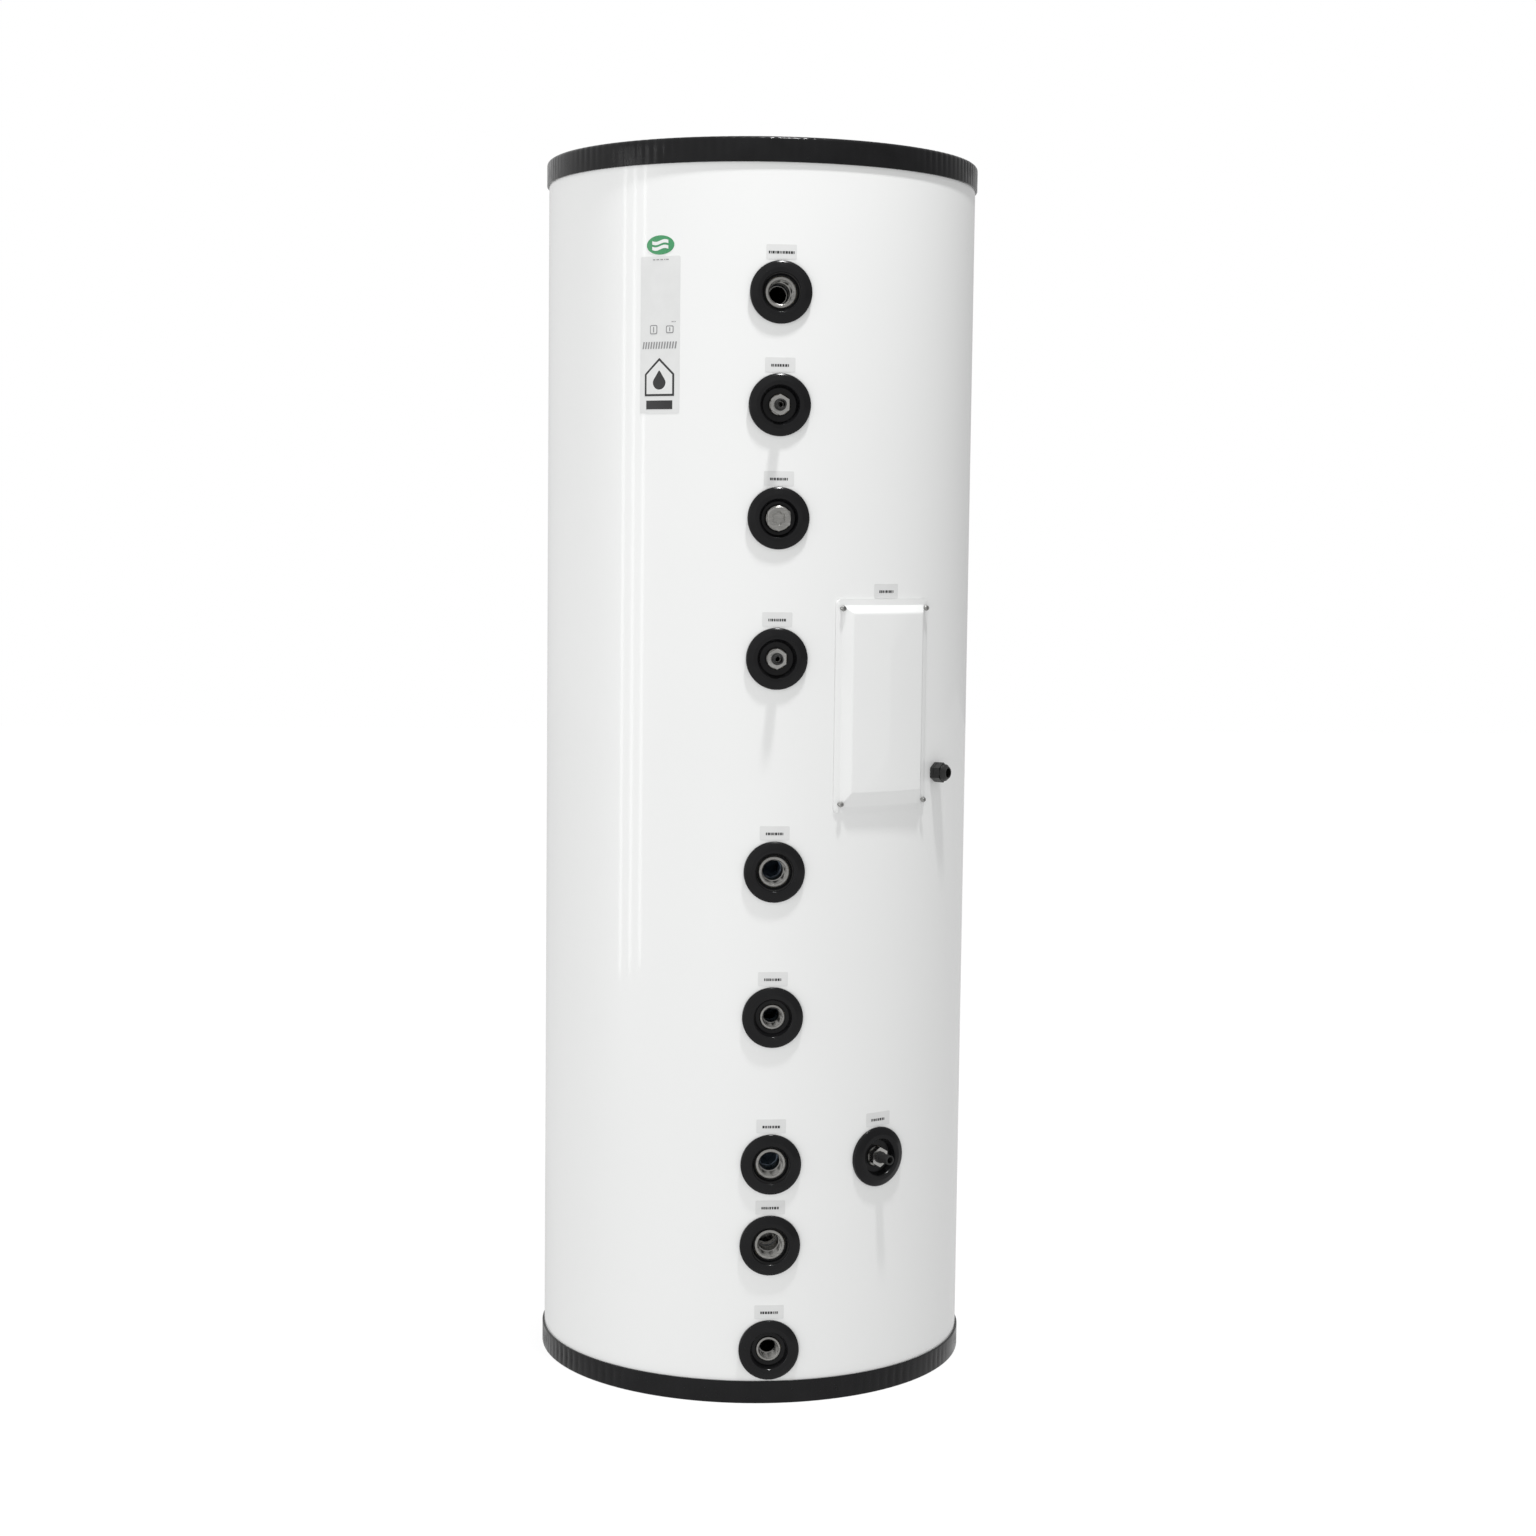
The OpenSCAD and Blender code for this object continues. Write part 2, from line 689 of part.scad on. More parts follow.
module heater_socket() {
    bore = G_ONE_AND_HALF[0];
    color("silver") difference() {
        radial(heater_z, side_azimuth) tube(G_ONE_AND_HALF[1], bore, vessel_r - 20, heater_face);
        jacket_cylinder(vessel_r + fit);
    }
}

module heater_seal() {
    color([0.1, 0.1, 0.1]) radial(heater_z, side_azimuth)
        tube(G_ONE_AND_HALF[1] - 1, G_ONE_AND_HALF[0] + 0.5, heater_face + fit / 2,
             heater_face + heater_seal_t);
}

heater_back = heater_face + heater_seal_t + fit / 2;
heater_front = heater_back + heater_head_t;

module heater_head() {
    color("goldenrod") radial(heater_z, side_azimuth) {
        hexagon(heater_head_af, heater_back, heater_front);
        rod(G_ONE_AND_HALF[0] - running, heater_back - plug_l, heater_back + eps);
        for (a = [0 : 60 : 300]) rotate([0, 0, a]) translate([element_x + 2, 0, 0])
            rod(pin_r, heater_front - eps, heater_front + pin_l);
    }
}

module heater_elements() {
    end = heater_back - plug_l - fit;
    color("silver") radial(heater_z, side_azimuth) for (a = [0, 120, 240]) rotate([0, 0, a])
        translate([element_x, 0, 0]) {
            for (y = [-element_bend_r, element_bend_r])
                translate([0, y, 0]) rod(element_r, end - heater_l, end);
            translate([0, 0, end - heater_l]) rotate([0, 90, 0])
                rotate_extrude(angle = 180, start = -90) translate([element_bend_r, 0])
                    circle(r = element_r);
        }
}

module thermostat_body() {
    color("whitesmoke") at_cover() difference() {
        union() {
            block(0, thermostat_z, thermostat_w, thermostat_h, well_floor_face + fit, thermostat_face);
            facing(knob_x, thermostat_z) rod(knob_r + 4, thermostat_face - 1, thermostat_face + 1.5);
            facing(button_x, thermostat_z) rod(button_r + 4, thermostat_face - 1, thermostat_face + 2);
        }
        facing(knob_x, thermostat_z)
            rod(spindle_r + running, thermostat_face - spindle_l - 1, thermostat_face + 5);
        facing(button_x, thermostat_z)
            rod(button_r + running, thermostat_face - button_in - button_travel - button_room,
                thermostat_face + 5);
        for (x = [-1, 1], z = [-1, 1])
            facing(x * (thermostat_w / 2 - 6), thermostat_z + z * (thermostat_h / 2 - 6))
                rod(1.6, thermostat_face - 10, thermostat_face + 1);
    }
}

module thermostat_knob() {
    start = thermostat_face + 1.5 + fit;
    flutes = 18;
    color([0.12, 0.12, 0.13]) at_cover() facing(knob_x, thermostat_z) {
        difference() {
            union() {
                rod(knob_r, start, start + knob_h);
                rod(spindle_r, thermostat_face - spindle_l, start + eps);
            }
            for (i = [1 : flutes - 1]) rotate([0, 0, 90 + 360 * i / flutes])
                translate([knob_r + 0.8, 0, 0]) rod(1.6, start + 2, start + knob_h + 1);
            translate([-0.8, knob_r - 8, start + knob_h - 0.8]) cube([1.6, 9, 2]);
        }
    }
}

module reset_button() {
    color("firebrick") at_cover() facing(button_x, thermostat_z)
        rod(button_r, thermostat_face - button_in, thermostat_face + 2 + button_out);
}

module terminal_block() {
    near = well_floor_face + fit;
    color("ivory") at_cover() difference() {
        union() {
            block(0, block_z, block_w, block_h, near, near + block_t);
            for (i = [-poles / 2 : poles / 2])
                block(i * pole_pitch, block_z, 1.6, block_h + 4, near, near + block_t + 3);
        }
        for (i = [-(poles - 1) / 2 : (poles - 1) / 2]) {
            for (side = [-1, 1]) facing(i * pole_pitch, block_z + side * 5)
                rod(2.9, near + block_t - 8, near + block_t + 4);
            translate([i * pole_pitch, -(near + block_t - 10.5), block_z - block_h])
                rod(2, 0, 2 * block_h);
        }
    }
}

module terminal_screws() {
    base = well_floor_face + fit + block_t - 8;
    color("goldenrod") at_cover()
        for (i = [-(poles - 1) / 2 : (poles - 1) / 2], side = [-1, 1])
            facing(i * pole_pitch, block_z + side * 5) difference() {
                rod(2.7, base + fit, base + 6);
                translate([-0.4, -3, base + 4.8]) cube([0.8, 6, 2]);
            }
}

// Wires from the terminal block down to the heater's pins and up to the thermostat
function wire_down(x, pin) = [
    let (depth = well_floor_face + fit + block_t - 10.5, low = block_z - block_h / 2)
    for (s = [0 : 0.1 : 1])
        let (ease = s * s * (3 - 2 * s))
            [x + (pin[0] - x) * ease,
             -(depth + (heater_front + pin_l + 1.5 - depth) * ease + 6 * sin(180 * s)),
             low - 0.5 + (pin[1] - low + 2) * s]];
function wire_up(x, end_x) = [
    let (depth = well_floor_face + fit + block_t - 10.5, high = block_z + block_h / 2,
         stop = thermostat_z - thermostat_h / 2)
    for (s = [0 : 0.1 : 1])
        let (ease = s * s * (3 - 2 * s))
            [x + (end_x - x) * ease, -(depth + 3 * sin(180 * s)), high + 0.5 + (stop - high - 2) * s]];

module wiring() {
    wire_r = 1.5;
    color("sienna") at_cover() {
        for (i = [-1, 0, 1])
            solid_sweep(wire_down(i * pole_pitch, [i * 8, heater_z + 16]), [1, 0, 0], wire_r, 8);
        for (i = [-2, 2])
            solid_sweep(wire_up(i * pole_pitch, i * pole_pitch * 1.3), [1, 0, 0], wire_r, 8);
    }
}

module service_well() {
    color("gainsboro") at_cover() difference() {
        intersection() {
            block(0, (well_z0 + well_z1) / 2, 2 * (well_x + well_wall),
                  well_z1 - well_z0 + 2 * well_wall, well_floor, jacket_r);
            jacket_cylinder(jacket_in_r - fit);
        }
        block(0, (well_z0 + well_z1) / 2, 2 * well_x, well_z1 - well_z0, well_floor_face, jacket_r + 1);
        facing(0, heater_z) rod(G_ONE_AND_HALF[1] + 1, vessel_r, jacket_r);
        translate([well_x - 1, -duct_y, gland_z]) rotate([0, 90, 0]) rod(duct_r, 0, well_wall + 2);
    }
}

// ---- Access cover ------------------------------------------------------------------------------

module rounded_plate(w, z0, z1, r, near, far) {
    union() {
        block(0, (z0 + z1) / 2, w - 2 * r, z1 - z0, near, far);
        block(0, (z0 + z1) / 2, w, z1 - z0 - 2 * r, near, far);
        for (x = [-w / 2 + r, w / 2 - r], z = [z0 + r, z1 - r]) facing(x, z) rod(r, near, far);
    }
}

// The raised panel: four slopes and a face that follows the jacket; shrink is taken off every side
module raised_panel(shrink) {
    base_x = cover_x - cover_lip - shrink;
    face_x = base_x - cover_bevel;
    skin_r = cover_flange_r + cover_wall - shrink;
    base_y = jacket_r - 14;
    face_y = jacket_r + cover_rise;
    foot_y = sqrt(skin_r * skin_r - base_x * base_x);
    brow_y = sqrt(face_y * face_y - face_x * face_x);
    low = cover_z + cover_lip + shrink;
    high = cover_top_z - cover_lip - shrink;
    intersection() {
        translate([0, 0, low]) linear_extrude(high - low)
            polygon([[-base_x, -base_y], [base_x, -base_y], [base_x, -foot_y],
                     [face_x, -brow_y], [face_x, -face_y - 1], [-face_x, -face_y - 1],
                     [-face_x, -brow_y], [-base_x, -foot_y]]);
        translate([-cover_x, 0, 0]) rotate([90, 0, 90]) linear_extrude(2 * cover_x)
            polygon([[-base_y, low], [-base_y, high], [-jacket_r, high],
                     [-face_y, high - cover_bevel], [-face_y, low + cover_low_bevel],
                     [-jacket_r, low]]);
        jacket_cylinder(face_y - shrink);
    }
}

module access_cover() {
    pad_face = sqrt(jacket_r * jacket_r - screw_x * screw_x) + screw_pad_y;
    color("white") at_cover() difference() {
        union() {
            difference() {
                union() {
                    intersection() {
                        rounded_plate(cover_w, cover_z, cover_top_z, cover_corner_r,
                                      jacket_r - 40, jacket_r + 20);
                        jacket_cylinder(cover_flange_r + cover_wall);
                    }
                    raised_panel(0);
                }
                raised_panel(cover_wall);
            }
            for (x = [-screw_x, screw_x], z = [screw_low_z, screw_high_z])
                facing(x, z) rod(screw_pad_r, pad_face - 12, pad_face);
        }
        jacket_cylinder(cover_flange_r);
        for (x = [-screw_x, screw_x], z = [screw_low_z, screw_high_z])
            facing(x, z) rod(screw_hole_r, 0, jacket_r + 40);
    }
}

module cover_screws() {
    pad_face = sqrt(jacket_r * jacket_r - screw_x * screw_x) + screw_pad_y;
    color("gray") at_cover() for (x = [-screw_x, screw_x], z = [screw_low_z, screw_high_z])
        facing(x, z) difference() {
            union() {
                rod(screw_r, pad_face - screw_l, pad_face + 1);
                translate([0, 0, pad_face + eps])
                    cylinder(r1 = screw_head_r, r2 = screw_head_r - 1, h = screw_head_h);
            }
            for (a = [0, 90]) rotate([0, 0, a])
                translate([-2, -0.5, pad_face + screw_head_h - 1.4]) cube([4, 1, 2]);
        }
}

// ---- Cable gland -------------------------------------------------------------------------------

module gland_body() {
    color([0.07, 0.07, 0.07]) radial(gland_z, gland_azimuth) difference() {
        union() {
            hexagon(gland_af, jacket_r + fit, gland_hex_face);
            rod(gland_stub_r, gland_hex_face - eps, gland_hex_face + gland_stub_l);
            rod(gland_tail_r, jacket_r - gland_tail_l, jacket_r + 2);
        }
        rod(seal_r + 0.1, gland_hex_face - 2, jacket_r + 40);
        rod(gland_bore_r, 0, jacket_r + 40);
    }
}

module gland_seal() {
    color([0.16, 0.16, 0.16]) radial(gland_z, gland_azimuth)
        tube(seal_r, seal_bore_r, gland_hex_face - 2 + fit, gland_hex_face - 2 + seal_l);
}

module gland_nut() {
    start = gland_hex_face + nut_gap;
    end = start + nut_l;
    color([0.07, 0.07, 0.07]) radial(gland_z, gland_azimuth) difference() {
        union() {
            hexagon(gland_af, start, start + nut_hex_l);
            rod(gland_af / 2 - 0.5, start + 1, end - 4);
            translate([0, 0, end - 4 - eps])
                cylinder(r1 = gland_af / 2 - 0.5, r2 = nut_mouth_r + 1.5, h = 4 + eps);
        }
        rod(gland_stub_r + running, start - 1, gland_hex_face + gland_stub_l + 1.5);
        rod(nut_mouth_r, start, end + 1);
    }
}

module gland_locknut() {
    far = sqrt(jacket_in_r * jacket_in_r - pow(gland_af / sqrt(3), 2)) - fit;
    color([0.07, 0.07, 0.07]) radial(gland_z, gland_azimuth) difference() {
        hexagon(gland_af, far - 5, far);
        rod(gland_tail_r + running, 0, jacket_r);
    }
}

// ---- Labels ------------------------------------------------------------------------------------

module sticker(w, h, z, azimuth) {
    half = w / 2 / jacket_r * 180 / PI;
    translate([0, 0, z - h / 2]) rotate([0, 0, -90 + azimuth - half])
        rotate_extrude(angle = 2 * half, $fn = fine_fn)
            translate([jacket_r + 0.05, 0]) square([label_t, h]);
}

module port_labels() {
    color("gainsboro") {
        for (p = PORTS) sticker(label_w, label_h, p[1] + label_rise, p[2]);
        sticker(label_w, label_h, cover_top_z + label_gap, side_azimuth);
    }
}

module rating_plate() {
    color("gainsboro") sticker(plate_w, plate_h, total_h - plate_drop, plate_azimuth);
}

module badge() {
    disc_z = total_h - badge_drop;
    pinch = (badge_w - badge_h) / 2;
    color("seagreen") intersection() {
        sticker(badge_w + 2, badge_h + 2, disc_z, plate_azimuth);
        radial(disc_z, plate_azimuth) union() {
            translate([-pinch, -badge_h / 2, jacket_r - 10]) cube([2 * pinch, badge_h, 20]);
            for (x = [-pinch, pinch]) translate([x, 0, 0]) rod(badge_h / 2, jacket_r - 10, jacket_r + 10);
        }
    }
}

// ---- Nodes -------------------------------------------------------------------------------------

inner_shell();
top_head();
bottom_head();
foot_ring();
heating_coil();
coil_brackets();
hot_outlet_dip_pipe();
cold_inlet_diffuser();
side_insulation();
end_insulation();
outer_jacket();
top_cap();
base_tray();
for (p = PORTS) {
    socket(p);
    rosette(p);
}
for (p = SENSOR_PORTS) pocket(p);
sensor_sleeves();
anode_plug();
anode_rod();
anode_seal();
heater_socket();
heater_head();
heater_elements();
heater_seal();
thermostat_body();
thermostat_knob();
reset_button();
terminal_block();
terminal_screws();
wiring();
service_well();
access_cover();
cover_screws();
gland_body();
gland_nut();
gland_seal();
gland_locknut();
port_labels();
rating_plate();
badge();
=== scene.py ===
import json
import math
import random

import bmesh
import bpy
from mathutils import Matrix, Vector


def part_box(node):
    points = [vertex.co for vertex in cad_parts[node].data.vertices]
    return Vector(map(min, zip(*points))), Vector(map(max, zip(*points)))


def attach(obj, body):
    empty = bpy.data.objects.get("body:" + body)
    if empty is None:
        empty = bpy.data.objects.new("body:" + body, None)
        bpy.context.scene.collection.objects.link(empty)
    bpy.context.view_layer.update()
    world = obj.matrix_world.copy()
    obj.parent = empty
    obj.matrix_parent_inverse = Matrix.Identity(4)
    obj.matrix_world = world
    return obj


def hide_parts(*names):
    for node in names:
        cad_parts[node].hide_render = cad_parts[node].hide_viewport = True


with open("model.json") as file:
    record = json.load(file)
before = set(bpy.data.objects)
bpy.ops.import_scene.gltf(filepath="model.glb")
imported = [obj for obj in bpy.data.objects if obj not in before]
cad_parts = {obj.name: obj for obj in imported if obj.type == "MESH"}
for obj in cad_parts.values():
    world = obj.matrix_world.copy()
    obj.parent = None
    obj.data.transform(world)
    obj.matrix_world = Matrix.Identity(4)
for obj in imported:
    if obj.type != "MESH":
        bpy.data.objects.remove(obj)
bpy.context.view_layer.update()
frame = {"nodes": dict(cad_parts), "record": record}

# Sizes below are in millimetres. A port piece is drawn in its port's own space: +Z points out of
# the jacket and is measured from the tank's axis, +Y is up and +X goes across.
MM = 1000.0
FIT = 0.2
AXIS_R = 0.01            # where an outline meets the axis that it is turned about
RIM_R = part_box("top_cap")[1].x * MM
RIM_WALL = 2.8
TOTAL_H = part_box("top_cap")[1].z * MM
CAP_RIM_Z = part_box("top_cap")[0].z * MM
CAP_T = 6.0
PANEL_INSET = 38.0       # from the cap's inner wall to its shallow round panel
PANEL_SLOPE = 8.0
PANEL_DEPTH = 3.0
BASE_RIM_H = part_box("base_tray")[1].z * MM
BASE_T = 3.0

JACKET_R = RIM_R - 3.0
JACKET_WALL = 0.8
JACKET_LOW = BASE_T + 0.4
JACKET_HIGH = TOTAL_H - CAP_T - 0.4
JACKET_SEGMENTS = 720
JACKET_ROWS = 24
SEAM_AZIMUTH = -24.0
SEAM_W = 14.0
SEAM_T = 0.6
VESSEL_R = 250.2
CROWN_R = 481.6
CROWN_CENTRE_Z = 526.4

# Each port: bore and outside radius of its socket, and the pitch and depth of its thread
HALF_INCH = (9.31, 13.5, 1.814, 1.16)
THREE_QUARTER_INCH = (12.06, 16.5, 1.814, 1.16)
ONE_INCH = (15.15, 20.5, 2.309, 1.48)
PORT_SIZES = {
    "hot_outlet": ONE_INCH, "upper_sensor": HALF_INCH, "anode": THREE_QUARTER_INCH,
    "middle_sensor": HALF_INCH, "coil_flow": ONE_INCH, "recirculation": THREE_QUARTER_INCH,
    "coil_return": ONE_INCH, "cold_inlet": ONE_INCH, "drain": THREE_QUARTER_INCH,
    "lower_sensor": HALF_INCH,
}
PLUGGED_PORTS = ("upper_sensor", "anode", "middle_sensor", "lower_sensor")
SOCKET_FACE = JACKET_R - 3.0
SOCKET_EDGE = 0.8
SOCKET_CHAMFER = 1.2
THREAD_L = 22.0
THREAD_CREST, THREAD_FLANK = 0.18, 0.64     # as shares of half a pitch
ROSETTE_R = 41.0
NECK_R = 27.5            # the part of a rosette that goes through the jacket
MOUTH_R = 22.5           # a rosette's recessed floor
CREST_IN, CREST_OUT = 26.2, 31.5
PORT_HOLE_R = 29.0

PLUG_AF = 30.0
PLUG_SEAL_T = 2.4
PLUG_FLANGE_T = 1.0
PLUG_HEAD_H = 8.0
PLUG_SHANK_L = 17.0
RECESS_DEPTH = 4.0
LOBE_R, LOBE_REACH = 5.8, 3.1

COVER_AZIMUTH = 30.0
COVER_X = 77.0
COVER_LOW, COVER_HIGH = (corner.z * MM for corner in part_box("access_cover"))
COVER_LIP = 8.0
COVER_SLOPE, COVER_LOWER_SLOPE = 10.0, 18.0
COVER_FACE_R = JACKET_R + 12.0
COVER_FLANGE_R = JACKET_R + 2.6
COVER_WALL = 2.2
COVER_CORNER_R = 6.0
COVER_EDGE = 0.5
SCREW_X = 70.0
SCREW_INSET = 12.0
SCREW_HOLE_R = 2.3
WELL_WALL = 1.2
WELL_X = 57.5
WELL_Z = (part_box("service_well")[0].z * MM + WELL_WALL,
          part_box("service_well")[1].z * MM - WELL_WALL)
GLAND_HOLE_R = 8.2
CUT_NEAR, CUT_FAR = 270.0, 330.0    # a cutter's two ends, inside the foam and past the cover

STICKER_AZIMUTH = -31.35
FILM_Z = 0.04            # heights over the jacket
FILM_T = 0.25
PRINT_Z = 0.45
PRINT_T = 0.03
PRINT_STEP = 0.04        # from one layer of print to the next
LABEL_W, LABEL_H = 40.0, 19.0
LABEL_RISE = 11.0        # from a rosette's or the cover's upper edge to its label's middle
RATING_W = 59.0
BADGE_X, BADGE_Y, BADGE_T = 20.5, 12.5, 0.3
WAVE_T = 0.04
WAVE_GAP = 7.2


def centre_of(node):
    low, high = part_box(node)
    return (low + high) / 2


def port_place(port):
    """Height and azimuth of a port, from its rosette. One port is in line with the cover."""
    middle = centre_of(port + "_rosette")
    azimuth = COVER_AZIMUTH if abs(middle.x) > 0.05 else 0.0
    return middle.z * MM, azimuth


def turned(z, azimuth):
    """From a piece's own space to the tank's, in millimetres: its +Z points out at that azimuth."""
    return (Matrix.Rotation(math.radians(azimuth), 4, "Z") @ Matrix.Translation((0, 0, z))
            @ Matrix.Rotation(math.pi / 2, 4, "X"))


UPRIGHT = Matrix.Scale(1 / MM, 4)


def place(z, azimuth):
    """The same as turned, but to the frame's metres."""
    return UPRIGHT @ turned(z, azimuth)


# ---- Materials ----------------------------------------------------------------------------------

def noise(nodes, links, coordinates, scale, stretch):
    texture = nodes.new("ShaderNodeTexNoise")
    texture.inputs["Scale"].default_value = scale
    texture.inputs["Detail"].default_value = 3.0
    source = coordinates.outputs["Object"]
    if stretch:
        mapping = nodes.new("ShaderNodeMapping")
        mapping.inputs["Scale"].default_value = stretch
        links.new(source, mapping.inputs["Vector"])
        source = mapping.outputs["Vector"]
    links.new(source, texture.inputs["Vector"])
    return texture.outputs["Fac"]


def ramp(nodes, links, factor, low, high):
    node = nodes.new("ShaderNodeValToRGB")
    first, last = node.color_ramp.elements
    first.position = 0.3
    last.position = 0.7
    first.color = (*low, 1.0)
    last.color = (*high, 1.0)
    links.new(factor, node.inputs["Fac"])
    return node.outputs["Color"]


def material(name, colour, roughness, metallic=0.0, spread=0.06, scale=30.0, bump=0.0,
             bump_scale=400.0, bump_distance=0.0002, coat=0.0, stretch=None, rough_spread=0.06,
             specular=0.5):
    """A finish whose colour and roughness drift slowly, with a fine relief where bump is given."""
    made = bpy.data.materials.new(name)
    made.use_nodes = True
    nodes = made.node_tree.nodes
    links = made.node_tree.links
    shader = nodes["Principled BSDF"]
    coordinates = nodes.new("ShaderNodeTexCoord")
    dark = [channel * (1 - spread) for channel in colour]
    light = [min(channel * (1 + spread), 1.0) for channel in colour]
    broad = noise(nodes, links, coordinates, scale, stretch)
    links.new(ramp(nodes, links, broad, dark, light), shader.inputs["Base Color"])
    gloss = noise(nodes, links, coordinates, scale * 2.3, stretch)
    rough_low = [max(roughness - rough_spread, 0.02)] * 3
    rough_high = [min(roughness + rough_spread, 1.0)] * 3
    links.new(ramp(nodes, links, gloss, rough_low, rough_high), shader.inputs["Roughness"])
    shader.inputs["Metallic"].default_value = metallic
    shader.inputs["Specular IOR Level"].default_value = specular
    shader.inputs["Coat Weight"].default_value = coat
    shader.inputs["Coat Roughness"].default_value = 0.06
    if bump:
        relief = nodes.new("ShaderNodeBump")
        relief.inputs["Strength"].default_value = bump
        relief.inputs["Distance"].default_value = bump_distance
        grain = noise(nodes, links, coordinates, bump_scale, stretch)
        links.new(grain, relief.inputs["Height"])
        links.new(relief.outputs["Normal"], shader.inputs["Normal"])
    return made


def brushed(name, colour, roughness, **more):
    """Metal with fine turning or drawing marks that run across +Z."""
    return material(name, colour, roughness, metallic=1.0, bump=0.25, bump_scale=900.0,
                    stretch=(1.0, 1.0, 6.0), **more)


def make_materials():
    return {
        "enamelled_steel": material("enamelled_steel", (0.16, 0.22, 0.30), 0.35, coat=0.3),
        "black_steel": material("black_steel", (0.05, 0.05, 0.05), 0.5, bump=0.2),
        "coil_steel": material("coil_steel", (0.20, 0.26, 0.33), 0.35, coat=0.3),
        "zinc_steel": brushed("zinc_steel", (0.36, 0.355, 0.34), 0.30, spread=0.14, scale=90.0),
        "stainless": brushed("stainless", (0.46, 0.455, 0.44), 0.24, spread=0.08, scale=70.0),
        "foam": material("foam", (0.80, 0.70, 0.42), 0.9, spread=0.12, scale=60.0, bump=0.6,
                         bump_distance=0.0006),
        "white_paint": material("white_paint", (0.86, 0.866, 0.86), 0.30, spread=0.006,
                                scale=3.0, coat=0.5, bump=0.05, bump_scale=60.0,
                                rough_spread=0.02),
        "black_plastic": material("black_plastic", (0.007, 0.007, 0.0076), 0.20, spread=0.2,
                                  bump=0.12, bump_scale=700.0, rough_spread=0.08,
                                  specular=0.22),
        "black_nylon": material("black_nylon", (0.009, 0.009, 0.009), 0.30, spread=0.15,
                                bump=0.2, bump_scale=900.0),
        "rubber": material("rubber", (0.012, 0.012, 0.012), 0.55, spread=0.2, bump=0.3),
        "magnesium": material("magnesium", (0.50, 0.51, 0.52), 0.5, metallic=1.0, spread=0.12,
                              bump=0.4),
        "brass": brushed("brass", (0.78, 0.58, 0.28), 0.28, spread=0.08),
        "heater_sheath": material("heater_sheath", (0.40, 0.40, 0.41), 0.35, metallic=1.0,
                                  spread=0.15),
        "thermostat_plastic": material("thermostat_plastic", (0.80, 0.79, 0.74), 0.42,
                                       spread=0.03, bump=0.15),
        "knob_plastic": material("knob_plastic", (0.02, 0.02, 0.024), 0.38, bump=0.2),
        "red_plastic": material("red_plastic", (0.52, 0.03, 0.025), 0.3, coat=0.3),
        "terminal_plastic": material("terminal_plastic", (0.76, 0.73, 0.64), 0.45, bump=0.15),
        "wire_sleeving": material("wire_sleeving", (0.42, 0.14, 0.04), 0.45, spread=0.12),
        "galvanised": material("galvanised", (0.58, 0.60, 0.61), 0.38, metallic=1.0, spread=0.16,
                               scale=120.0),
        "white_cover": material("white_cover", (0.84, 0.846, 0.84), 0.33, spread=0.006,
                                scale=6.0, coat=0.15, bump=0.06, bump_scale=500.0,
                                rough_spread=0.03),
        "dark_screw": brushed("dark_screw", (0.42, 0.42, 0.41), 0.32, spread=0.15),
        "label_film": material("label_film", (0.73, 0.735, 0.73), 0.38, spread=0.02, scale=50.0),
        "badge_green": material("badge_green", (0.045, 0.30, 0.115), 0.28, spread=0.08,
                                coat=0.4),
        "print_black": material("print_black", (0.022, 0.022, 0.023), 0.45, spread=0.15),
        "print_grey": material("print_grey", (0.26, 0.26, 0.265), 0.45, spread=0.08),
        "badge_white": material("badge_white", (0.82, 0.83, 0.82), 0.3, spread=0.02),
    }


MATERIALS = make_materials()


# ---- Mesh helpers -------------------------------------------------------------------------------

def add_mesh(name, bm):
    """Turns a bmesh into an object in the scene."""
    bmesh.ops.recalc_face_normals(bm, faces=bm.faces)
    mesh = bpy.data.meshes.new(name)
    bm.to_mesh(mesh)
    bm.free()
    made = bpy.data.objects.new(name, mesh)
    bpy.context.scene.collection.objects.link(made)
    return made


def place_smooth(mesh, matrix, angle):
    mesh.transform(matrix)
    mesh.polygons.foreach_set("use_smooth", [True] * len(mesh.polygons))
    mesh.set_sharp_from_angle(angle=math.radians(angle))


def tie(made, materials, replaced, body="tank"):
    """Gives an object its materials and its body, and hides the node that it stands for."""
    for used in materials:
        made.data.materials.append(MATERIALS[used])
    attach(made, body)
    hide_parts(replaced)


def piece(name, bm, matrix, materials, replaced, body="tank", angle=32.0):
    """Turns a bmesh into a finished piece: placed, smoothed up to an angle, and riding."""
    bmesh.ops.remove_doubles(bm, verts=bm.verts, dist=1e-4)
    made = add_mesh(name, bm)
    place_smooth(made.data, matrix, angle)
    tie(made, materials, replaced, body)


def bridge(bm, rings):
    """Quads between neighbouring closed rings of vertices."""
    for ring, following in zip(rings, rings[1:]):
        for i in range(len(ring)):
            j = (i + 1) % len(ring)
            corners = [ring[i], ring[j], following[j], following[i]]
            if len(set(corners)) == 4:
                bm.faces.new(corners)


def lathe(bm, section, segments):
    """Turns a section about +Z. section(angle) gives that column's closed (r, z) outline."""
    columns = []
    for i in range(segments):
        angle = 2 * math.pi * i / segments
        columns.append([bm.verts.new((r * math.cos(angle), r * math.sin(angle), z))
                        for r, z in section(angle)])
    columns.append(columns[0])
    bridge(bm, columns)
    return bm


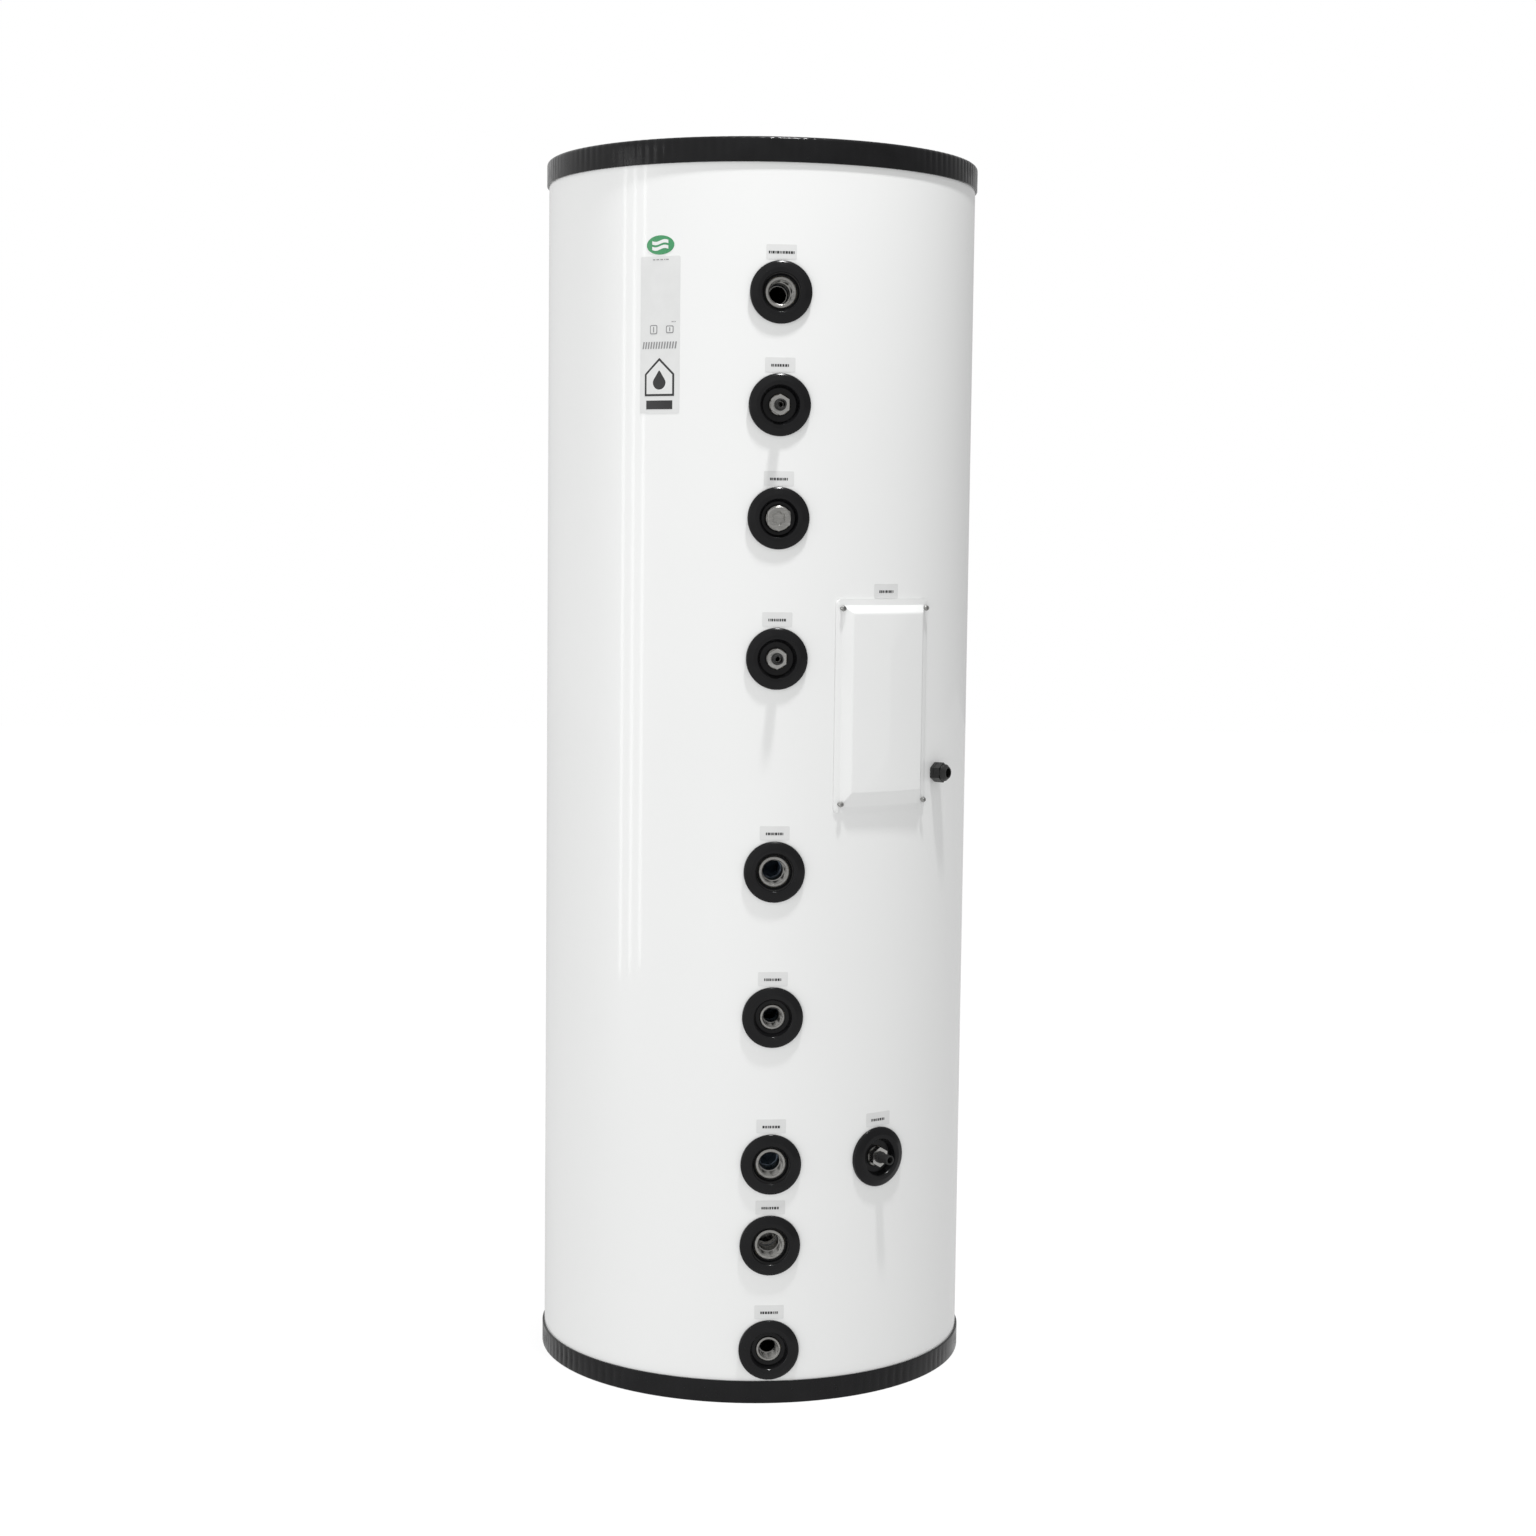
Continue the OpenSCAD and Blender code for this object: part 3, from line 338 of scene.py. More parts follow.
def fillet(corners, steps=4):
    """(x, y, radius) corners of a closed outline, each rounded by its radius."""
    points = []
    count = len(corners)
    for i, (x, y, radius) in enumerate(corners):
        before = Vector(corners[i - 1][:2]) - Vector((x, y))
        after = Vector(corners[(i + 1) % count][:2]) - Vector((x, y))
        half = before.angle(after) / 2
        if radius <= 0 or half > math.pi / 2 - 0.02:
            points += [(x, y)] * (1 if radius <= 0 else steps + 1)
            continue
        reach = min(radius / math.tan(half), before.length * 0.49, after.length * 0.49)
        radius = reach * math.tan(half)
        middle = (before.normalized() + after.normalized()).normalized()
        centre = Vector((x, y)) + middle * (radius / math.sin(half))
        start = Vector((x, y)) + before.normalized() * reach - centre
        end = Vector((x, y)) + after.normalized() * reach - centre
        turn = start.angle_signed(end)
        for step in range(steps + 1):
            spoke = start.copy()
            spoke.rotate(Matrix.Rotation(-turn * step / steps, 2))
            points.append(tuple(centre + spoke))
    return points


def on_cylinder(radius, x):
    return math.sqrt(max(radius * radius - x * x, 0.0))


def around_axis(radius, azimuth):
    a = math.radians(azimuth)
    return radius * math.sin(a), -radius * math.cos(a)


def hex_radius(angle, af):
    """Distance from a hexagon's axis to its side, with its corners turned off."""
    corner = 1.125 * af / 2
    from_middle = (angle + math.pi / 6) % (math.pi / 3) - math.pi / 6
    return min(af / 2 / math.cos(from_middle), corner)


def cylinder_cutter(name, radius, matrix, segments):
    """A closed cylinder from CUT_NEAR to CUT_FAR along its own +Z."""
    bm = bmesh.new()
    tip = AXIS_R / 10
    lathe(bm, lambda angle: [(tip, CUT_NEAR), (radius, CUT_NEAR), (radius, CUT_FAR),
                             (tip, CUT_FAR)], segments)
    bmesh.ops.remove_doubles(bm, verts=bm.verts, dist=AXIS_R)
    bmesh.ops.transform(bm, matrix=matrix, verts=bm.verts)
    return add_mesh(name, bm)


def cut(target, cutters):
    """Takes the cutters out of the target's mesh, and removes them."""
    for tool in cutters:
        change = target.modifiers.new("cut", "BOOLEAN")
        change.object = tool
        change.operation = "DIFFERENCE"
        change.solver = "EXACT"
    bpy.context.view_layer.update()
    evaluated = target.evaluated_get(bpy.context.evaluated_depsgraph_get())
    mesh = bpy.data.meshes.new_from_object(evaluated)
    mesh.materials.clear()
    target.modifiers.clear()
    target.data = mesh
    for tool in cutters:
        bpy.data.objects.remove(tool)


# ---- Jacket -------------------------------------------------------------------------------------

def sheet_ring(bm, radius, z):
    return [bm.verts.new((*around_axis(radius, i * 360 / JACKET_SEGMENTS), z))
            for i in range(JACKET_SEGMENTS)]


def lap_section():
    """(radius, azimuth) outline of the seam's lap, with softened edges."""
    half = math.degrees(SEAM_W / 2 / JACKET_R)
    edge = [(JACKET_R - 0.3, half), (JACKET_R, half), (JACKET_R + 0.6 * SEAM_T, half - 0.02),
            (JACKET_R + SEAM_T, half - 0.09)]
    return [(r, -a) for r, a in edge] + [(JACKET_R + SEAM_T, 0)] + edge[::-1]


def jacket_shell():
    """The rolled sheet with its lap: one thin wall, thicker along the seam."""
    bm = bmesh.new()
    heights = [JACKET_LOW + (JACKET_HIGH - JACKET_LOW) * row / JACKET_ROWS
               for row in range(JACKET_ROWS + 1)]
    rings = [sheet_ring(bm, JACKET_R, z) for z in heights]
    rings += [sheet_ring(bm, JACKET_R - JACKET_WALL, z) for z in reversed(heights)]
    bridge(bm, rings + rings[:1])
    lap = [[bm.verts.new((*around_axis(r, SEAM_AZIMUTH + a), z)) for r, a in lap_section()]
           for z in (BASE_RIM_H + 1, TOTAL_H / 2, CAP_RIM_Z)]
    bridge(bm, lap)
    bm.faces.new(lap[0])
    bm.faces.new(lap[-1])
    return bm


def well_cutter():
    """The window in the jacket that opens the service well."""
    bm = bmesh.new()
    bmesh.ops.create_cube(bm, size=1.0)
    size = (2 * WELL_X, WELL_Z[1] - WELL_Z[0], CUT_FAR - CUT_NEAR)
    middle = (0, sum(WELL_Z) / 2, (CUT_NEAR + CUT_FAR) / 2)
    matrix = turned(0, COVER_AZIMUTH) @ Matrix.Translation(middle) @ Matrix.Diagonal((*size, 1))
    bmesh.ops.transform(bm, matrix=matrix, verts=bm.verts)
    return add_mesh("well_cutter", bm)


def jacket_cutters():
    cutters = [cylinder_cutter("port_cutter", PORT_HOLE_R, turned(*port_place(port)), 96)
               for port in PORT_SIZES]
    gland = centre_of("gland_body")
    azimuth = math.degrees(math.atan2(gland.x, -gland.y))
    cutters.append(cylinder_cutter("gland_cutter", GLAND_HOLE_R, turned(gland.z * MM, azimuth), 48))
    cutters.append(well_cutter())
    return cutters


def round_normals(mesh, radius):
    """Gives the faces of a cylinder wall the normals of a true cylinder."""
    slack = 0.0007
    normals = [loop.normal.copy() for loop in mesh.loops]
    for polygon in mesh.polygons:
        centre = polygon.center
        away = Vector((centre.x, centre.y, 0)).normalized()
        on_wall = abs(math.hypot(centre.x, centre.y) - radius) < slack
        if on_wall and polygon.normal.dot(away) > 0.999:
            for index in polygon.loop_indices:
                at = mesh.vertices[mesh.loops[index].vertex_index].co
                normals[index] = Vector((at.x, at.y, 0)).normalized()
    mesh.normals_split_custom_set(normals)


def build_jacket():
    made = add_mesh("jacket_sheet", jacket_shell())
    cut(made, jacket_cutters())
    place_smooth(made.data, UPRIGHT, 25)
    made.data.update()
    round_normals(made.data, JACKET_R / MM)
    tie(made, ["white_paint"], "outer_jacket")


# ---- Top cap and base tray ----------------------------------------------------------------------

def pleat(angle, count, depth, seed):
    """Small uneven pleats in a vacuum-formed rim: how far it pulls in at that angle."""
    draw = random.Random(seed)
    phases = [draw.uniform(0, 2 * math.pi) for _ in range(3)]
    slow = 0.5 + 0.5 * math.sin(7 * angle + phases[0]) * math.sin(11 * angle + phases[1])
    return depth * slow * (0.5 + 0.5 * math.cos(count * angle + phases[2])) ** 2


def build_top_cap():
    """A lid with a shallow round panel and a rim that comes down over the jacket."""
    inner = RIM_R - RIM_WALL
    under = TOTAL_H - CAP_T
    panel_r = inner - PANEL_INSET
    panel_z = TOTAL_H - PANEL_DEPTH

    def section(angle):
        crease = pleat(angle, count=150, depth=1.0, seed=3)
        return fillet([(AXIS_R, panel_z, 0), (panel_r, panel_z, 6),
                       (panel_r + PANEL_SLOPE, TOTAL_H, 4), (RIM_R - 0.6 * crease, TOTAL_H, 5),
                       (RIM_R - crease, TOTAL_H - 14, 1), (RIM_R, CAP_RIM_Z, 0.8),
                       (inner, CAP_RIM_Z, 0.5), (inner, under, 1), (AXIS_R, under, 0)])
    piece("top_cap_moulding", lathe(bmesh.new(), section, 900), UPRIGHT, ["black_plastic"],
          "top_cap", angle=50)


def build_base_tray():
    """A plate with a rim that comes up round the jacket."""
    inner = RIM_R - RIM_WALL

    def section(angle):
        edge = RIM_R - pleat(angle, count=130, depth=1.2, seed=8)
        return fillet([(AXIS_R, 0, 0), (RIM_R, 0, 2.5), (edge, BASE_RIM_H * 0.55, 3),
                       (RIM_R, BASE_RIM_H, 0.8), (inner, BASE_RIM_H, 0.5), (inner, BASE_T, 1),
                       (AXIS_R, BASE_T, 0)])
    piece("base_tray_moulding", lathe(bmesh.new(), section, 900), UPRIGHT, ["black_plastic"],
          "base_tray", angle=50)


# ---- Ports --------------------------------------------------------------------------------------

def build_rosette(port):
    """A ring that bulges round a recessed mouth. Its back follows the jacket."""
    hole = PORT_SIZES[port][1] + 0.6
    crest = JACKET_R + 7.0
    rim = JACKET_R + 3.4
    floor = JACKET_R - 5.0
    under = JACKET_R - 7.0

    def section(angle):
        back = [on_cylinder(JACKET_R + FIT, r * math.cos(angle)) for r in (ROSETTE_R, NECK_R)]
        return fillet([(hole, floor, 0.5), (MOUTH_R, floor, 1.2),
                       (MOUTH_R + 2.5, crest - 1.6, 0.8), (CREST_IN, crest, 1.2),
                       (CREST_OUT, crest, 2.5), (ROSETTE_R - 2.5, rim + 0.7, 1.5),
                       (ROSETTE_R, rim - 1.0, 1.6), (ROSETTE_R, back[0], 0),
                       (NECK_R, back[1], 0), (NECK_R, under, 0.6), (hole, under, 0.4)])
    piece(port + "_rosette_moulding", lathe(bmesh.new(), section, 128),
          place(*port_place(port)), ["black_plastic"], port + "_rosette", angle=28)


def thread_points(angle, bore, pitch, depth):
    """(r, z) points of a socket's thread from its inner end to its mouth, at one angle."""
    step = pitch / 8
    points = []
    for row in range(int(THREAD_L / step) + 1):
        z = SOCKET_FACE - THREAD_L + step * row
        wave = abs(((z / pitch + angle / (2 * math.pi)) % 1.0) * 2 - 1)
        root = min(max((wave - THREAD_CREST) / THREAD_FLANK, 0.0), 1.0)
        mouth = bore + 1.7 - (SOCKET_FACE - z)
        points.append((max(bore + depth * root, mouth), z))
    return points


def socket_root(port, x, y, z):
    """Where a point of a socket's back meets the vessel, as a distance from the tank's axis."""
    if port == "drain":
        below_centre = CROWN_CENTRE_Z - (z + y)
        return math.sqrt(max(CROWN_R ** 2 - below_centre ** 2 - x * x, 0.0))
    return on_cylinder(VESSEL_R, x)


def build_socket(port):
    """A socket from the vessel to its face. The open ones show their thread."""
    z, azimuth = port_place(port)
    bore, outside, pitch, depth = PORT_SIZES[port]
    behind = bore - 1.0
    edge = SOCKET_EDGE

    def section(angle):
        x, y = math.cos(angle), math.sin(angle)
        points = [(outside, socket_root(port, outside * x, outside * y, z)),
                  (outside, SOCKET_FACE - edge), (outside - 0.25, SOCKET_FACE - 0.25),
                  (outside - edge, SOCKET_FACE), (bore + 1.9, SOCKET_FACE)]
        if port in PLUGGED_PORTS:
            points += [(bore + SOCKET_CHAMFER, SOCKET_FACE),
                       (bore, SOCKET_FACE - SOCKET_CHAMFER), (bore, SOCKET_FACE - THREAD_L)]
        else:
            points += reversed(thread_points(angle, bore, pitch, depth))
        return points + [(behind, SOCKET_FACE - THREAD_L - 0.6),
                         (behind, socket_root(port, behind * x, behind * y, z))]
    piece(port + "_socket_turning", lathe(bmesh.new(), section, 80), place(z, azimuth),
          ["zinc_steel"], port + "_socket", angle=40)


def hex_head(low, high, floor):
    """The plug's chamfered hexagon head, with a six-lobed recess down to its floor."""
    flat = 0.95 * PLUG_AF / 2
    lip = 0.4

    def section(angle):
        side = hex_radius(angle, PLUG_AF)
        chamfer = (side - flat) * math.tan(math.radians(30)) + 0.01
        lobe = LOBE_R + LOBE_REACH * abs(math.cos(3 * (angle - math.pi / 6))) ** 0.7
        return [(lobe, low), (side, low), (side, high - chamfer), (flat, high),
                (lobe + lip, high), (lobe, high - lip), (lobe, floor), (AXIS_R, floor),
                (AXIS_R, low)]
    return section


def disc(radius, low, high, low_edge, high_edge):
    """A turned disc or bar, its two edges rounded by their own radii."""
    outline = fillet([(AXIS_R, low, 0), (radius, low, low_edge), (radius, high, high_edge),
                      (AXIS_R, high, 0)])
    return lambda angle: outline


def build_anode_head():
    """The plug's head and flange outside its seal, and the shank in its socket."""
    seat = SOCKET_FACE + PLUG_SEAL_T
    head = seat + PLUG_FLANGE_T
    top = head + PLUG_HEAD_H
    bore, outside = PORT_SIZES["anode"][:2]
    bm = bmesh.new()
    lathe(bm, hex_head(head, top, top - RECESS_DEPTH), 144)
    lathe(bm, disc(outside, seat, head, 0.2, 0.3), 96)
    lathe(bm, disc(bore - 0.06, seat - PLUG_SHANK_L, seat, 1.0, 0.1), 96)
    piece("anode_plug_head", bm, place(*port_place("anode")), ["zinc_steel"], "anode_plug",
          body="anode", angle=24)


# ---- Cover --------------------------------------------------------------------------------------

def rounded_ring(half_x, low, high, radius):
    """Points of a rounded rectangle, the same number for every size."""
    per_side = 20
    per_corner = 5
    corners = [(half_x - radius, low + radius, -90), (half_x - radius, high - radius, 0),
               (-half_x + radius, high - radius, 90), (-half_x + radius, low + radius, 180)]
    points = []
    for index, (x, z, start) in enumerate(corners):
        for step in range(per_corner + 1):
            turn = math.radians(start + 90 * step / per_corner)
            points.append((x + radius * math.cos(turn), z + radius * math.sin(turn)))
        following = Vector(corners[(index + 1) % 4][:2])
        first = Vector(points[-1])
        last = following + Vector((math.cos(turn), math.sin(turn))) * radius
        points += [tuple(first.lerp(last, step / per_side)) for step in range(1, per_side)]
    return points


def cover_skin(bm, shrink):
    """Rings of one side of the cover's wall, from its edge to the middle of its face."""
    middle = COVER_X - 1.0
    outline = fillet([(0.0, COVER_FLANGE_R, 0), (COVER_LIP, COVER_FLANGE_R, 2.0),
                      (COVER_LIP + COVER_SLOPE, COVER_FACE_R, 6.0),
                      (middle, COVER_FACE_R, 0)], 6)
    outline[-1] = (middle - shrink, COVER_FACE_R)
    rings = []
    for inset, radius in outline:
        up_slope = min(max(inset - COVER_LIP, 0.0) / COVER_SLOPE, 1.0)
        low = COVER_LOW + inset + (COVER_LOWER_SLOPE - COVER_SLOPE) * up_slope
        corner = min(max(COVER_CORNER_R - inset, 1.2), (COVER_X - inset) * 0.9)
        ring = rounded_ring(COVER_X - inset, low, COVER_HIGH - inset, corner)
        rings.append([bm.verts.new((x, y, on_cylinder(radius - shrink, x))) for x, y in ring])
    return rings


def build_cover():
    """A moulded wall, its outer edge softened, with the four screw holes cut through it."""
    bm = bmesh.new()
    outer = cover_skin(bm, 0.0)
    inner = cover_skin(bm, COVER_WALL)
    back = COVER_FLANGE_R - COVER_WALL
    inner[0] = [bm.verts.new((v.co.x, v.co.y, on_cylinder(back, v.co.x))) for v in outer[0]]
    edge = [bm.verts.new((v.co.x, v.co.y, v.co.z - COVER_EDGE)) for v in outer[0]]
    for vertex in outer[0]:
        vertex.co.x *= 1 - COVER_EDGE / COVER_X
    bridge(bm, [inner[0], edge] + outer)
    bridge(bm, inner)
    bm.faces.new(outer[-1])
    bm.faces.new(inner[-1])
    made = add_mesh("access_cover_moulding", bm)
    cut(made, [cylinder_cutter("screw_cutter", SCREW_HOLE_R, Matrix.Translation((x, z, 0)), 32)
               for x in (-SCREW_X, SCREW_X)
               for z in (COVER_LOW + SCREW_INSET, COVER_HIGH - SCREW_INSET)])
    place_smooth(made.data, place(0, COVER_AZIMUTH), 35)
    tie(made, ["white_cover"], "access_cover", body="cover")


# ---- Stickers -----------------------------------------------------------------------------------

def wrapped_patch(bm, outline, height, thickness, index=0):
    """A flat outline of (x, y) points laid round the jacket at that height above it."""
    strip = 4.0
    before = set(bm.faces)
    bm.faces.new([bm.verts.new((x, y, 0)) for x, y in outline])
    across = [x for x, _ in outline]
    x = min(across) + strip
    while x < max(across):
        mine = [f for f in bm.faces if f not in before]
        parts = mine + [e for f in mine for e in f.edges] + [v for f in mine for v in f.verts]
        bmesh.ops.bisect_plane(bm, geom=list(set(parts)), dist=1e-5, plane_co=(x, 0, 0),
                               plane_no=(1, 0, 0))
        x += strip
    mine = [f for f in bm.faces if f not in before]
    raised = bmesh.ops.extrude_face_region(bm, geom=mine)["geom"]
    upper = {v for v in raised if isinstance(v, bmesh.types.BMVert)}
    faces = [f for f in bm.faces if f not in before]
    for vertex in {v for f in faces for v in f.verts}:
        radius = JACKET_R + height + (thickness if vertex in upper else 0.0)
        turn = vertex.co.x / JACKET_R
        vertex.co = Vector((radius * math.sin(turn), vertex.co.y, radius * math.cos(turn)))
    for face in faces:
        face.material_index = index


def print_patch(bm, outline, index, layer=0):
    """One patch of print on a sticker. A patch of a higher layer lies over a lower one."""
    wrapped_patch(bm, outline, PRINT_Z + PRINT_STEP * layer, PRINT_T, index)


def rectangle(x, y, width, height, radius=0.0):
    left, right, low, high = x - width / 2, x + width / 2, y - height / 2, y + height / 2
    return fillet([(left, low, radius), (right, low, radius), (right, high, radius),
                   (left, high, radius)], 3)


def print_line(bm, x, y, width, height, seed, unit, index=1):
    """A row of small bars, like a line of print too small to read."""
    draw = random.Random(seed)
    at = x - width / 2
    while at < x + width / 2 - unit * 0.5:
        bar = min(unit * draw.uniform(0.5, 1.6), x + width / 2 - at)
        print_patch(bm, rectangle(at + bar / 2, y, bar * 0.86, height), index)
        at += bar + unit * draw.uniform(0.15, 0.4)


def build_labels():
    """One label over each port and one over the cover, all in one piece."""
    below = [(z + ROSETTE_R, azimuth) for z, azimuth in map(port_place, PORT_SIZES)]
    below.append((COVER_HIGH, COVER_AZIMUTH))
    bm = bmesh.new()
    for number, (edge, azimuth) in enumerate(below):
        label = bmesh.new()
        wrapped_patch(label, rectangle(0, 0, LABEL_W, LABEL_H, 1.5), FILM_Z, FILM_T)
        print_line(label, 0, -0.8, 34 if number == 0 else 24, 3.4, seed=40 + number, unit=2.2)
        bmesh.ops.transform(label, matrix=turned(edge + LABEL_RISE, azimuth), verts=label.verts)
        mesh = bpy.data.meshes.new("label")
        label.to_mesh(mesh)
        label.free()
        bm.from_mesh(mesh)
        bpy.data.meshes.remove(mesh)
    piece("port_label_stickers", bm, UPRIGHT, ["label_film", "print_black"], "port_labels")


def house(half, foot, eaves, peak):
    """Outline of two walls and a roof."""
    return [(-half, foot), (half, foot), (half, eaves), (0, peak), (-half, eaves)]


def drop(centre, radius):
    """A circle that narrows and is drawn out to a point at its top."""
    outline = []
    for step in range(32):
        turn = 2 * math.pi * (step + 0.5) / 32
        point = max(-math.cos(turn), 0.0)
        outline.append((radius * math.sin(turn) * (1 - point ** 2 * 0.55),
                        centre - radius * math.cos(turn) + 6 * point ** 3))
    return outline


def build_rating_plate():
    """The plate's print: two framed bars, short lines, a hatched band, a house and a bar."""
    film, black, grey = range(3)
    frames_y = 7.0
    band_low, band_high = -18.0, -9.0
    peak = -30.0
    wall = 2.8
    low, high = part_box("rating_plate")
    half = (high.z - low.z) * MM / 2
    bm = bmesh.new()
    wrapped_patch(bm, rectangle(0, 0, RATING_W, 2 * half, 2.0), FILM_Z, FILM_T)
    print_line(bm, 1, half - 4.5, 24, 1.2, seed=5, unit=3.4, index=grey)
    for x, tall in ((-9, 12), (15, 10)):
        print_patch(bm, rectangle(x, frames_y, 11, tall, 2.0), grey)
        print_patch(bm, rectangle(x, frames_y, 8.4, tall - 2.6, 1.2), film, layer=1)
        print_patch(bm, rectangle(x, frames_y, 1.6, tall - 4.5, 0.5), grey, layer=2)
    print_line(bm, 21, 17, 7, 1.2, seed=9, unit=2.2, index=grey)
    for stripe in range(13):
        x = -26 + stripe * 4.0
        print_patch(bm, [(x, band_low), (x + 2.0, band_low), (x + 3.4, band_high),
                         (x + 1.4, band_high)], grey)
    print_patch(bm, house(22, peak - 50, peak - 21, peak), black)
    print_patch(bm, house(22 - wall, peak - 50 + wall, peak - 22, peak - 3.8), film, layer=1)
    print_patch(bm, drop(peak - 32, 9.5), black, layer=2)
    print_patch(bm, rectangle(0, 11 - half, 39, 11.5), black)
    piece("rating_plate_sticker", bm, place(centre_of("rating_plate").z * MM, STICKER_AZIMUTH),
          ["label_film", "print_black", "print_grey"], "rating_plate")


def build_badge():
    """An oval badge with two plain waves."""
    turns = [2 * math.pi * k / 64 for k in range(64)]
    bm = bmesh.new()
    wrapped_patch(bm, [(BADGE_X * math.cos(t), BADGE_Y * math.sin(t)) for t in turns],
                  FILM_Z, BADGE_T)
    for shift in (-WAVE_GAP / 2, WAVE_GAP / 2):
        upper = [(x, shift + 2.2 + 1.6 * math.sin(x / 4.2)) for x in range(-12, 13, 2)]
        lower = [(x, shift - 2.2 + 1.6 * math.sin(x / 4.2)) for x in range(12, -13, -2)]
        wrapped_patch(bm, lower + upper, FIT + BADGE_T, WAVE_T, 1)
    piece("badge_sticker", bm, place(centre_of("badge").z * MM, STICKER_AZIMUTH),
          ["badge_green", "badge_white"], "badge")


# ---- The rest of the frame ----------------------------------------------------------------------

def dress_frame():
    """CAD nodes that are shown as they are: finished edges, and the finish of their slot."""
    slots = {part["node"]: part["material_slot"] for part in frame["record"]["subparts"]}
    for name, node in frame["nodes"].items():
        node.data.materials.clear()
        node.data.materials.append(MATERIALS[slots[name]])
        if node.hide_render:
            continue
        weld = node.modifiers.new("weld", "WELD")
        weld.merge_threshold = 1e-6
        edges = node.modifiers.new("edges", "BEVEL")
        edges.width = 0.0004
        edges.segments = 2
        edges.limit_method = "ANGLE"
        edges.angle_limit = math.radians(35)
        node.modifiers.new("shade", "WEIGHTED_NORMAL").keep_sharp = True


# ---- Studio, in metres --------------------------------------------------------------------------

FLOOR_SEEN, FLOOR_GLOW = 0.93, 0.60        # what the floor gives to the camera, and to the rest
SKY_LEFT, SKY_RIGHT = 0.87, 0.38           # the world's light, from the left to the right
CEILING_LAMP = (0.313, -1.012, 4.14)
CEILING_POWER = 310.0
FILL_LAMP = (-0.7, -3.4, 0.25)
FILL_TARGET = (0, 0, 0.25)
FILL_POWER = 19.0
FILL_W, FILL_H = 2.4, 0.5
WINDOW_X, WINDOW_Y, WINDOW_Z = -3.0, -0.6, 1.2
WINDOW_STEP = 0.35
WINDOW_TARGET = (0, -0.5, WINDOW_Z)
WINDOW_POWER = 2.6
WINDOW_W, WINDOW_H = 0.1, 2.2
CAMERA_PLACE = (-0.3277, -3.7529, 1.1707)
CAMERA_YAW, CAMERA_PITCH, CAMERA_ROLL = 5.257, 5.053, 0.670
CAMERA_LENS, SENSOR_W = 61.52, 36.0


def by_camera(nodes, links, seen, others):
    """Mixes two shaders: one for what the camera sees, one for all other rays."""
    rays = nodes.new("ShaderNodeLightPath")
    pick = nodes.new("ShaderNodeMixShader")
    links.new(rays.outputs["Is Camera Ray"], pick.inputs["Fac"])
    links.new(others, pick.inputs[1])
    links.new(seen, pick.inputs[2])
    return pick.outputs["Shader"]


def floor_shader(nodes, emission):
    shader = nodes.new("ShaderNodeBsdfPrincipled")
    shader.inputs["Base Color"].default_value = (0.12, 0.12, 0.12, 1)
    shader.inputs["Roughness"].default_value = 0.9
    shader.inputs["Specular IOR Level"].default_value = 0.0
    shader.inputs["Emission Color"].default_value = (1, 1, 1, 1)
    shader.inputs["Emission Strength"].default_value = emission
    return shader.outputs["BSDF"]


def build_floor():
    bm = bmesh.new()
    bmesh.ops.create_grid(bm, x_segments=8, y_segments=8, size=12)
    floor = add_mesh("studio_floor", bm)
    made = bpy.data.materials.new("studio_white")
    made.use_nodes = True
    nodes = made.node_tree.nodes
    links = made.node_tree.links
    nodes.clear()
    output = nodes.new("ShaderNodeOutputMaterial")
    shown = by_camera(nodes, links, floor_shader(nodes, FLOOR_SEEN),
                      floor_shader(nodes, FLOOR_GLOW))
    links.new(shown, output.inputs["Surface"])
    floor.data.materials.append(made)


def build_world():
    world = bpy.data.worlds.new("studio")
    bpy.context.scene.world = world
    world.use_nodes = True
    nodes = world.node_tree.nodes
    links = world.node_tree.links
    nodes.clear()
    output = nodes.new("ShaderNodeOutputWorld")
    seen = nodes.new("ShaderNodeBackground")
    around = nodes.new("ShaderNodeBackground")
    for background in (seen, around):
        background.inputs["Color"].default_value = (1, 1, 1, 1)
        background.inputs["Strength"].default_value = 1.0
    direction = nodes.new("ShaderNodeTexCoord")
    parts = nodes.new("ShaderNodeSeparateXYZ")
    fall = nodes.new("ShaderNodeMapRange")
    fall.inputs["From Min"].default_value = -1.0
    fall.inputs["From Max"].default_value = 1.0
    fall.inputs["To Min"].default_value = SKY_LEFT
    fall.inputs["To Max"].default_value = SKY_RIGHT
    links.new(direction.outputs["Generated"], parts.inputs["Vector"])
    links.new(parts.outputs["X"], fall.inputs["Value"])
    links.new(fall.outputs["Result"], around.inputs["Strength"])
    shown = by_camera(nodes, links, seen.outputs["Background"], around.outputs["Background"])
    links.new(shown, output.inputs["Surface"])


